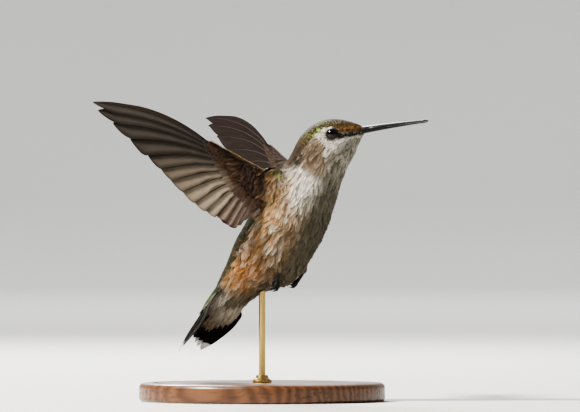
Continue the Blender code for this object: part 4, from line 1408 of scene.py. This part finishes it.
class Roots:
    """Feather roots placed one by one, each with its fields."""

    def __init__(self):
        self.places = []
        self.fields = {}

    def add(self, place, out, way, size, tint, edge, gloss, patch, shape=0):
        out = unit(out)
        row = {
            "root_normal": out,
            "lie": unit(way - out * out.dot(way)),
            "size": np.array(size) * MM,
            "tint": (*np.clip(tint, 0, 1), 1.0),
            "edge": (*np.clip(edge, 0, 1), 1.0),
            "gloss": gloss,
            "patch": (*patch, 0.0),
            "shape": shape,
            "wrap": 0.0,
        }
        self.places.append(place)
        for key, value in row.items():
            self.fields.setdefault(key, []).append(value)

    def grow(self, name, slot, rng):
        grow(name, {**self.fields, "seed": rng.random(len(self.places))}, np.array(self.places), slot)


COVERT_ROWS = (  # distance ahead of the roots, spacing, length, half width, lift
    (0.35, 0.62, 3.4, 0.62, 0.34),
    (1.15, 0.58, 2.8, 0.54, 0.52),
    (1.85, 0.54, 2.3, 0.50, 0.68),
    (2.45, 0.50, 1.9, 0.46, 0.80),
)
LEADING_EDGE = ((-10.5, 0.8), (-8.0, 0.6), (-5.0, 0.2), (-2.0, -0.2), (0.0, -0.4),
                (2.5, -0.7), (5.5, -1.1), (8.5, -1.5), (10.6, -1.8))


def add_covert(roots, wing, face, number, start, rng):
    """One covert of a row, above (face 1) or below (face -1) the roots of the flight feathers."""
    colours = bpy.context.scene.hb_colours
    before, _, length, width, lift = COVERT_ROWS[number]
    line = remex_line(start)
    share = start / (REMIGES - 1)
    way = unit(line[1] - line[0]) * 0.6 + unit(line[2] - line[0]) * 0.4
    root = line[0] - way * before - np.array((0.22, 0.32)) * number * (1.0 - share)
    length = length * (1.0 - (0.30 + 0.05 * number) * share)
    place = wing.point(root[0], root[1], face * (lift * (1.0 - 0.35 * share) + 0.10))
    heading = unit(way[0] * wing.spanwise + way[1] * wing.chordwise)
    tone = np.array(colours.covert) * rng.uniform(0.55, 1.25)
    green = 0.25 * (1.0 - share) * (number > 0) * (face > 0)
    if face > 0:
        tone = tone * 0.7 * (1 - green) + np.array(colours.green) * green
    else:
        warm = 0.15 * rng.random() * (number > 0)
        tone = tone * (1 - warm) + np.array(colours.rust) * warm * 0.8
        tone = tone + (remex_colours(start)[0] - tone) * 0.55 * (number == 0)
    roots.add(
        place, wing.upper * face + rng.normal(0, 0.03, 3), heading + rng.normal(0, 0.04, 3),
        (width, length * rng.uniform(0.9, 1.1), 1.7), tone, tone * 1.4 + 0.02,
        0.35 * green + 0.1, (0.05 + 0.9 * share, 0.25 + 0.1 * number + 0.35 * (face > 0)),
    )


def add_leading_edge(roots, wing, rng):
    """Three rows of tiny feathers round the leading edge; on the right wing they are pale."""
    colours = bpy.context.scene.hb_colours
    base = np.array(colours.rim if wing.sign < 0 else colours.covert)
    for p in np.arange(-9.0, 10.4, 0.30):
        edge_q = np.interp(p, *zip(*LEADING_EDGE))
        for row in range(3):
            out = -wing.chordwise * (1.0 - 0.25 * row) + wing.upper * 0.5 * (row - 1)
            place = wing.point(p + 0.1 * row, edge_q - 0.10 + 0.10 * row, 0.14 * (row - 1))
            tone = base * rng.uniform(0.6, 1.15)
            way = wing.spanwise + wing.chordwise * 0.12 * (row - 1) + rng.normal(0, 0.05, 3)
            patch = (0.5 + p / 25.0, 0.15 + 0.02 * row)
            roots.add(place, out, way, (0.13, 0.85, 0.8), tone, tone * 1.2, 0.0, patch)


def make_wing_coverts():
    """Rows of coverts over the roots of the flight feathers, above and below, and the leading edge."""
    rng = np.random.default_rng(23)
    for side in SIDES:
        wing = WingPlane(side)
        roots = Roots()
        for face in (1.0, -1.0):
            for number, (_, pitch, *_) in enumerate(COVERT_ROWS):
                start = 0.2 + 0.25 * number
                while start < REMIGES - 1.1:
                    add_covert(roots, wing, face, number, start, rng)
                    start += pitch / 1.15
        add_leading_edge(roots, wing, rng)
        roots.grow(f"wing_{side}_coverts", "flight_feather", rng)


# ---- tail


def tail_point(along, across, lift):
    """Places along, across and above the arched tail."""
    height = lift - TAIL_ARCH * across**2
    along, across, height = (v[..., None] for v in np.broadcast_arrays(along, across, height))
    return TAIL_ROOT + along * TAIL_WAY + across * LEFTWARD + height * TAIL_UP


def rectrix_pitch(along):
    """Spacing of the shafts, widest part way down the tail."""
    root, widest, tip = RECTRIX_PITCH
    early = root + (widest - root) * np.sin(np.pi / 2 * np.clip(along / TAIL_WIDEST, 0, 1))
    past = np.clip((along - TAIL_WIDEST) / (RECTRIX_LENGTHS[-1] - TAIL_WIDEST), 0, 1)
    return np.where(along < TAIL_WIDEST, early, widest + (tip - widest) * past**1.5)


def rectrix(pair, sign, vanes, quills):
    """One tail feather; the outer ones run up along the rump."""
    high = pair >= 4
    outermost = pair == 5
    start = -0.20 - 0.14 * high
    v = start + (1.0 - start) * (1.0 - (1.0 - np.linspace(0.0, 1.0, 38)) ** 1.7)
    along = v * (RECTRIX_LENGTHS[pair - 1] + 0.65)
    early = np.minimum(along, 0.0)
    pitch = rectrix_pitch(np.maximum(along, 0.0))
    shaft = (pair - 0.5) * pitch * (1.0 + early * (0.012 if high else 0.10))
    blunt = rounded(v, 0.76, 2.1)
    columns = np.linspace(-1.0, 1.0, 13)
    outer = (0.48 + 0.04 * (5 - pair) + 0.22 * outermost) * pitch * blunt
    outer = outer + 1.4 * outermost * ease(along, -1.2, 0.8) * fade(along, 0.8, 4.2)
    across = shaft[:, None] + columns * vane_width(columns, 1.25 * pitch * blunt, outer)
    lift = -0.10 * pair + np.where(columns < 0, -0.16 * np.abs(columns), 0.10 * columns)
    lift = lift - 0.03 * early[:, None] ** 2 * high * 0.6
    add_vane(vanes, tail_point(along[:, None], sign * across, lift + 0.05), v, columns,
             white=(0.0, 0.0, 0.45, 0.9, 1.2)[pair - 1], green=(0.8, 0.35, 0.0, 0.0, 0.0)[pair - 1])
    path = tail_point(along[:-1], sign * shaft[:-1], -0.10 * pair + 0.06)
    points, sides, _ = tube(path, 0.15 * (1.0 - 0.75 * np.clip(v[:-1], 0, 1)), sides=6)
    quills.add(points, sides)


def make_tail():
    """Ten rectrices, the central pair on top."""
    vanes = Bundle()
    quills = Bundle()
    nodes = []
    for side, sign in reversed(SIDES.items()):
        for pair in range(1, 6):
            nodes.append(f"tail_{side}_{pair}")
            rectrix(pair, sign, vanes, quills)
    piece = vanes.build("tail_vanes")
    thicken(piece, 0.08)
    settle(piece, finish("tail_vanes", tail_finish), "tail_feather", *nodes)
    settle(quills.build("tail_quills"), finish("quills", quill_finish), "tail_feather")


def add_vent_coverts(roots, rng, rows=15):
    """Long soft coverts from the vent along the under side of the tail."""
    colours = bpy.context.scene.hb_colours
    for row in range(rows):
        share = row / (rows - 1)
        along = -4.2 + 9.4 * share
        depth = float(np.interp(along, (-4.2, -0.8, 0.8, 4.0, 7.2), (7.3, 6.7, 5.2, 3.3, 1.2)))
        half_width = float(np.interp(along, (-4.2, -0.8, 0.8, 4.0, 5.6, 7.2), (4.9, 4.4, 3.1, 2.2, 1.5, 1.0)))
        slope = 0.10 + 0.42 * float(ease(along, -2.0, 1.5))
        count = max(6, round(2.6 * (half_width + depth) / 1.35))
        for k in range(count):
            turn = math.pi * (0.03 + 0.94 * (k + 0.5 * (row % 2) + rng.uniform(-0.15, 0.15)) / count)
            across = math.cos(turn) * half_width
            if along > 3.6 - 3.0 * math.cos(turn):
                continue
            under = 0.7 + (depth - 0.7) * math.sin(turn)
            place = tail_point(along, across, TAIL_ARCH * across**2 - under)
            out = -TAIL_UP * math.sin(turn) / depth + LEFTWARD * math.cos(turn) / half_width
            way = TAIL_WAY + TAIL_UP * slope * math.sin(turn) - LEFTWARD * across * 0.05
            way = way + rng.normal(0.0, 0.06, 3)
            tone = np.array(colours.white) * 0.54 * (1.0 - share)
            tone = tone + np.array(colours.streak) * (0.35 + 0.65 * share)
            tone = tone * rng.uniform(0.55, 1.15) * (1.0 - 0.45 * share) * (1.0, 0.975, 0.90)
            width = 0.68 * rng.uniform(0.85, 1.15)
            length = rng.uniform(3.2, 4.8) * (1.0 - 0.3 * share * abs(math.cos(turn)))
            shape = 4 if share > 0.55 else int(rng.integers(1, 4))
            roots.add(place, out, way, (width, length, 1.7), tone, tone * 1.25 + 0.02, 0.0,
                      (0.1 + 0.8 * k / count, 0.05 + 0.4 * share), shape)


def add_rump_fan(roots, rng, rows=7, count=11):
    """A green fan of compact feathers over the root of the tail."""
    colours = bpy.context.scene.hb_colours
    for row in range(rows):
        along = -3.4 + 0.95 * row
        mix = float(ease(along, -1.0, 2.0))
        for k in range(count):
            across = ((k + 0.5 * (row % 2)) / count * 2.0 - 0.95) * 4.3
            body = -3.2 + 3.95 * math.sqrt(max(0.0, 1.0 - (across / 4.9) ** 2))
            flat = 0.20 - TAIL_ARCH * across**2
            place = tail_point(along, across, body * (1.0 - mix) + flat * mix + TAIL_ARCH * across**2 + 0.05)
            tone = np.array(colours.green) * rng.uniform(0.6, 1.3)
            if rng.random() < 0.35:
                tone = np.array(colours.dusk) * 1.3
            out = TAIL_UP + LEFTWARD * across * (0.22 - 0.12 * mix)
            way = TAIL_WAY - LEFTWARD * across * 0.02 - TAIL_UP * 0.03
            roots.add(place, out, way, (0.80, 2.7 * rng.uniform(0.9, 1.1), 1.6), tone,
                      np.array(colours.bronze) * 0.7, 0.75, (0.1 + 0.8 * k / count, 0.55 + 0.06 * row))


def make_tail_coverts():
    """Coverts under and over the root of the tail."""
    rng = np.random.default_rng(31)
    roots = Roots()
    add_vent_coverts(roots, rng)
    add_rump_fan(roots, rng)
    roots.grow("tail_coverts", "plumage_pale", rng)


# ---- bill, eyes and feet


def make_bill():
    """Two mandibles with a ridged culmen, a fine gape and a nostril slit."""
    forward = np.array((math.cos(BILL_RISE), 0.0, math.sin(BILL_RISE)))
    up = np.array((-forward[2], 0.0, forward[0]))
    rows = 56
    sides = 24
    angles = np.linspace(0, math.pi, sides)
    ridge = np.sin(angles) ** 0.85
    culmen = ridge * (1.0 + 0.10 * np.exp(-(((angles - math.pi / 2) / 0.3) ** 2)))
    holes = np.exp(-(((angles - 0.55) / 0.22) ** 2)) + np.exp(-(((angles - math.pi + 0.55) / 0.22) ** 2))
    for name, heights, widths, sign, share in (
        ("bill_upper", (0.98, 0.34), (1.02, 0.30), 1.0, 1.0),
        ("bill_lower", (0.68, 0.26), (0.94, 0.27), -1.0, 0.99),
    ):
        along = share * np.linspace(-0.09, 1.0, rows)
        taper = np.clip(1.0 - along, 0, 1.1) ** 1.1
        tip = np.minimum(1.0, np.maximum(0.06, (share - along) / 0.05 + 0.10)) ** 0.6
        height = (heights[1] + (heights[0] - heights[1]) * taper) * tip
        half = (widths[1] + (widths[0] - widths[1]) * taper) * tip
        points = []
        for k in range(rows):
            centre = BILL_START + forward * along[k] * BILL_LENGTH - up * BILL_DROOP * along[k] ** 2
            nostril = 0.22 * math.exp(-(((along[k] - 0.07) / 0.045) ** 2)) * holes * (sign > 0)
            wide = np.cos(angles) * half[k] * (1.0 - nostril)
            lift = sign * (0.03 + (culmen if sign > 0 else ridge) * height[k] * (1.0 - nostril * 0.5))
            points.append(centre + np.outer(lift, up) + np.outer(wide, LEFTWARD))
        points = turned(np.concatenate(points), np.ones(rows * sides))
        points = np.concatenate([points, points[:sides].mean(0)[None], points[-sides:].mean(0)[None]])
        faces = grid_faces(rows, sides, closed=True) + fan_caps(rows * sides, sides)
        piece = build_mesh(name + "_horn", points, faces)
        outward(piece)
        settle(piece, finish("bill_horn", horn_finish), "bill", name)


LID_PROFILE = (  # radius and height of each ring, from the inner rim outwards
    (1.25, 1.20), (1.20, 1.29), (1.21, 1.33), (1.26, 1.32),
    (1.31, 1.24), (1.38, 1.08), (1.48, 0.86), (1.60, 0.40),
)


def make_eyes():
    """Each eye is a glossy ball in a narrow ring of wrinkled lids."""
    rings = 28
    sides = 48
    turns = circle(sides)
    for side, sign in reversed(SIDES.items()):
        centre, way = eye_axis(sign)
        high = unit(np.array((0.0, 0.0, 1.0)) - way * way[2])
        fore = np.cross(high, way)
        around = np.outer(np.cos(turns), fore) + np.outer(np.sin(turns), high)
        polar = np.array([math.pi * max(k, 0.02) / rings for k in range(rings + 1)])
        points = []
        for theta in polar:
            radius = EYE_RADIUS * (1.0 + 0.03 * math.exp(-((theta / 0.45) ** 2)))
            out = math.cos(theta) * way + math.sin(theta) * around
            points.append(centre + way * EYE_BULGE + radius * out)
        ball = build_mesh(f"eye_{side}_ball", np.concatenate(points), grid_faces(rings + 1, sides, closed=True),
                          polar=np.repeat(polar, sides))
        outward(ball)
        settle(ball, finish("eye", eye_finish), "eye", f"eye_{side}")
        points = []
        for k, (radius, height) in enumerate(LID_PROFILE):
            wrinkle = 1.0 + 0.012 * np.sin(turns * 24 + k) * (k > 1)
            oval = 1.0 + 0.05 * np.cos(turns) ** 2
            flat = np.outer(np.cos(turns) * radius * wrinkle * oval, fore)
            points.append(centre + way * height + (flat + np.outer(np.sin(turns) * radius * wrinkle, high)))
        faces = grid_faces(len(LID_PROFILE), sides, closed=True)
        rim = np.repeat([1.0] * 4 + [0.3] * (len(LID_PROFILE) - 4), sides)
        lids = build_mesh(f"eye_{side}_lids", np.concatenate(points), faces, rim=rim)
        if sign > 0:
            lids.data.flip_normals()
        settle(lids, finish("lids", lid_finish), "plumage_crown")


def toe_path(heel, along, aside, splay, lead, curl, length, steps=26):
    """A toe's curled middle line from the heel."""
    outer = unit(np.cross(along, aside))
    points = [heel]
    for k in range(steps):
        share = k / steps
        angle = math.radians(lead - curl * share**1.3)
        step = (along * math.cos(angle) + aside * math.sin(angle)) * length / steps
        points.append(points[-1] + step + outer * splay * max(0.0, 0.5 - share) * 5.0 / steps)
    return np.array(points)


def add_toe(bundle, path):
    """A toe with pads and joints that ends in a hooked claw."""
    share = np.linspace(0, 1, len(path))
    nail = ease(share, 0.60, 0.66)
    pads = 0.33 + 0.045 * np.abs(np.sin(share * 7.5 * math.pi)) * (1 - nail)
    radii = pads * (1 - nail) + nail * (0.24 * (1.0 - share) / 0.40 + 0.015)
    points, faces, along = tube(path, radii)
    bundle.add(points, faces, claw=ease(along, 0.60, 0.64))


def make_feet():
    """Scaled shanks, padded toes and curved claws."""
    for side, (top, heel, lead, curl, length) in LEGS.items():
        along = unit(heel - top)
        ahead = unit(np.cross((0.0, -1.0, 0.0), along))
        if ahead[0] < 0:
            ahead = -ahead
        bundle = Bundle()
        share = np.linspace(0, 1, 30)
        down = share[:, None]
        path = (top + along * 0.7) * (1 - down) + heel * down + ahead * 0.1 * np.sin(down * math.pi)
        radii = 0.45 - 0.04 * share + 0.028 * np.abs(np.sin(share * 9 * math.pi)) + 0.10 * share**8
        points, faces, _ = tube(path, radii, sides=14)
        bundle.add(points, faces, claw=0.0)
        for splay, reach, tilt in ((-0.72, 0.95, 12), (0.0, 1.10, 0), (0.72, 0.92, 12)):
            add_toe(bundle, toe_path(heel, along, ahead, splay, lead - tilt, curl, length * reach))
        add_toe(bundle, toe_path(heel, along, -ahead, 0.0, 62.0, 150.0, length * 0.72))
        piece = bundle.build(f"foot_{side}_scaled")
        outward(piece)
        settle(piece, finish("foot_scales", foot_finish), "foot", f"leg_{side}", f"foot_{side}")


# ---- stand and stage


def turned_shape(name, profile, segments, unit_size=1.0, pole=1e-4):
    """A shape turned from (radius, height) points; a zero radius closes a pole."""
    turns = circle(segments)
    rings = []
    for radius, height in profile:
        radius = max(radius, pole)
        x, y = np.cos(turns) * radius, np.sin(turns) * radius
        rings.append(np.column_stack([x, y, np.full(segments, height)]))
    faces = grid_faces(len(profile), segments, closed=True)
    return build_mesh(name, np.concatenate(rings) / unit_size, faces)


def lathe(name, profile, segments, look, slot, node):
    """A closed turned solid of the stand."""
    piece = turned_shape(name, profile, segments)
    outward(piece, gap=1e-6)
    piece.data.set_sharp_from_angle(angle=math.radians(35))
    settle(piece, look, slot, node)


def make_stand():
    """Turned walnut base with a brass rod and collar."""
    sizes = bpy.context.scene.hb_stand
    brass = finish("brushed_brass", brass_finish)
    radius = sizes.base_radius
    top = sizes.base_height
    arc = np.linspace(0, math.pi / 2, 9)
    edge = [(radius - 1.2 + 1.2 * math.sin(a), top - 1.2 + 1.2 * math.cos(a)) for a in arc]
    groove = [(radius - 4.4, top), (radius - 4.1, top - 0.22), (radius - 3.7, top - 0.22), (radius - 3.4, top)]
    foot = [(radius, 0.6), (radius - 0.5, 0.0), (radius - 12, 0.0), (0.0, 0.0)]
    base = [(0.0, top), (radius - 12, top), *groove, *edge, *foot]
    lathe("stand_base_turned", base, 128, finish("walnut", wood_finish), "stand_wood", "stand_base")
    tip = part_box("stand_rod")[1][2] / MM
    rod = [(0.0, tip), (0.6, tip), (0.8, tip - 0.15), (0.8, top), (0.0, top)]
    lathe("stand_rod_turned", rod, 48, brass, "stand_metal", "stand_rod")
    rings = ((0.80, 1.9), (1.25, 1.9), (1.45, 1.75), (1.6, 1.1), (2.2, 0.75),
             (2.35, 0.55), (2.35, 0.1), (2.25, 0.0), (0.80, 0.0), (0.80, 1.9))
    collar = [(across, top + 0.02 + height) for across, height in rings]
    lathe("stand_collar_turned", collar, 64, brass, "stand_metal", "stand_collar")


FLOOR_PROFILE = (  # radius and height in metres
    (0.0, 0.0), (1.0, 0.0), (2.5, 0.0), (3.0, 0.05), (3.5, 0.25), (3.9, 0.7), (4.1, 1.4), (4.15, 3.0)
)
VIEW_WIDTH = 0.14146


def point_at(obj, place, way):
    """Puts a lamp or the camera at a place, looking a way."""
    bpy.context.scene.collection.objects.link(obj)
    obj.location = place
    obj.rotation_mode = "QUATERNION"
    obj.rotation_quaternion = way.to_track_quat("-Z", "Y")


def soft_light(name, place, target, size, power, colour=(1.0, 1.0, 1.0)):
    data = bpy.data.lights.new(name, "AREA")
    data.shape = "DISK"
    data.size = size
    data.energy = power
    data.color = colour
    point_at(bpy.data.objects.new(name, data), place, target - place)


def make_stage():
    """Pale floor that sweeps up behind, soft lights and the camera."""
    sizes = bpy.context.scene.hb_stage
    scene = bpy.context.scene
    floor = turned_shape("floor", FLOOR_PROFILE, 96, unit_size=MM, pole=1e-3)
    floor.data.materials.append(finish("floor", floor_finish))
    world = bpy.data.worlds.new("studio")
    scene.world = world
    world.use_nodes = True
    sky = world.node_tree.nodes["Background"].inputs
    sky["Color"].default_value = (0.93, 0.96, 1.0, 1.0)
    sky["Strength"].default_value = 0.23

    angle = math.radians(sizes.azimuth)
    right = Vector((math.cos(angle), math.sin(angle), 0.0))
    back = Vector((math.sin(angle), -math.cos(angle), 0.0))
    up = Vector((0.0, 0.0, 1.0))
    target = right * 0.0068 + up * 0.0476
    middle = Vector((0.0, 0.0, 0.045))
    warm, cool = (1.0, 0.94, 0.83), (0.93, 0.97, 1.0)
    sweep = middle - back * 2.9 - up * 0.2
    soft_light("key", middle - right * 0.60 + back * 0.24 + up * 0.60, middle, 0.16, sizes.key, warm)
    soft_light("fill", middle + right * 0.55 + back * 0.45 + up * 0.05, middle, 0.5, sizes.fill, cool)
    soft_light("rim", middle - right * 0.15 - back * 0.6 + up * 0.45, middle, 0.3, sizes.key * 0.35)
    soft_light("backdrop", middle - back * 1.5 + up * 1.5, sweep, 1.6, sizes.key * 1.7)
    scene.view_settings.look = "AgX - Medium High Contrast"
    data = bpy.data.cameras.new("camera")
    camera = bpy.data.objects.new("camera", data)
    point_at(camera, target + back * sizes.distance, -back)
    data.sensor_width = 36.0
    data.lens = data.sensor_width * sizes.distance / VIEW_WIDTH
    data.clip_start = 0.05
    data.clip_end = 50.0
    scene.camera = camera


# ---- operators


class HB_OT_skin(bpy.types.Operator):
    """One skin through all the flesh"""

    bl_idname = "hb.skin"
    bl_label = "Skin"

    def execute(self, context):
        make_skin()
        return {"FINISHED"}


class HB_OT_coat(bpy.types.Operator):
    """Contour feathers of the head, trunk and arms"""

    bl_idname = "hb.coat"
    bl_label = "Coat"

    def execute(self, context):
        SHARED["shapes"] = feather_shapes()
        make_coat()
        return {"FINISHED"}


class HB_OT_wings(bpy.types.Operator):
    """Flight feathers and their coverts"""

    bl_idname = "hb.wings"
    bl_label = "Wings"

    def execute(self, context):
        make_flight_feathers()
        make_wing_coverts()
        return {"FINISHED"}


class HB_OT_tail(bpy.types.Operator):
    """Tail feathers and their coverts"""

    bl_idname = "hb.tail"
    bl_label = "Tail"

    def execute(self, context):
        make_tail()
        make_tail_coverts()
        for obj in list(SHARED["shapes"].objects):
            bpy.data.objects.remove(obj, do_unlink=True)
        bpy.data.collections.remove(SHARED["shapes"])
        return {"FINISHED"}


class HB_OT_bill(bpy.types.Operator):
    """Upper and lower mandible"""

    bl_idname = "hb.bill"
    bl_label = "Bill"

    def execute(self, context):
        make_bill()
        return {"FINISHED"}


class HB_OT_eyes(bpy.types.Operator):
    """Eyes and lids"""

    bl_idname = "hb.eyes"
    bl_label = "Eyes"

    def execute(self, context):
        make_eyes()
        return {"FINISHED"}


class HB_OT_feet(bpy.types.Operator):
    """Shanks, toes and claws"""

    bl_idname = "hb.feet"
    bl_label = "Feet"

    def execute(self, context):
        make_feet()
        return {"FINISHED"}


class HB_OT_stand(bpy.types.Operator):
    """Display stand"""

    bl_idname = "hb.stand"
    bl_label = "Stand"

    def execute(self, context):
        make_stand()
        return {"FINISHED"}


class HB_OT_stage(bpy.types.Operator):
    """Floor, lights and camera"""

    bl_idname = "hb.stage"
    bl_label = "Stage"

    def execute(self, context):
        make_stage()
        return {"FINISHED"}


class HB_PT_panel(bpy.types.Panel):
    """Lists the pieces of the hummingbird"""

    bl_idname = "HB_PT_panel"
    bl_label = "Hummingbird"
    bl_space_type = "VIEW_3D"
    bl_region_type = "UI"
    bl_category = "Hummingbird"

    def draw(self, context):
        for operator in OPERATORS:
            self.layout.operator(operator.bl_idname)
        for group, name in GROUPS.items():
            for key in group.__annotations__:
                self.layout.prop(getattr(context.scene, name), key)


OPERATORS = (HB_OT_skin, HB_OT_coat, HB_OT_wings, HB_OT_tail, HB_OT_bill,
             HB_OT_eyes, HB_OT_feet, HB_OT_stand, HB_OT_stage)
GROUPS = {
    HB_PlumageColours: "hb_colours",
    HB_CoatSizes: "hb_coat",
    HB_FlightSizes: "hb_flight",
    HB_StandSizes: "hb_stand",
    HB_StageSizes: "hb_stage",
}


def register():
    for kind in (*GROUPS, *OPERATORS, HB_PT_panel):
        bpy.utils.register_class(kind)
    for group, name in GROUPS.items():
        setattr(bpy.types.Scene, name, bpy.props.PointerProperty(type=group))


def unregister():
    for name in GROUPS.values():
        delattr(bpy.types.Scene, name)
    for kind in reversed((*GROUPS, *OPERATORS, HB_PT_panel)):
        bpy.utils.unregister_class(kind)


def main():
    register()
    for step in (bpy.ops.hb.skin, bpy.ops.hb.coat, bpy.ops.hb.wings, bpy.ops.hb.tail, bpy.ops.hb.bill,
                 bpy.ops.hb.eyes, bpy.ops.hb.feet, bpy.ops.hb.stand, bpy.ops.hb.stage):
        step()


if __name__ == "__main__":
    main()
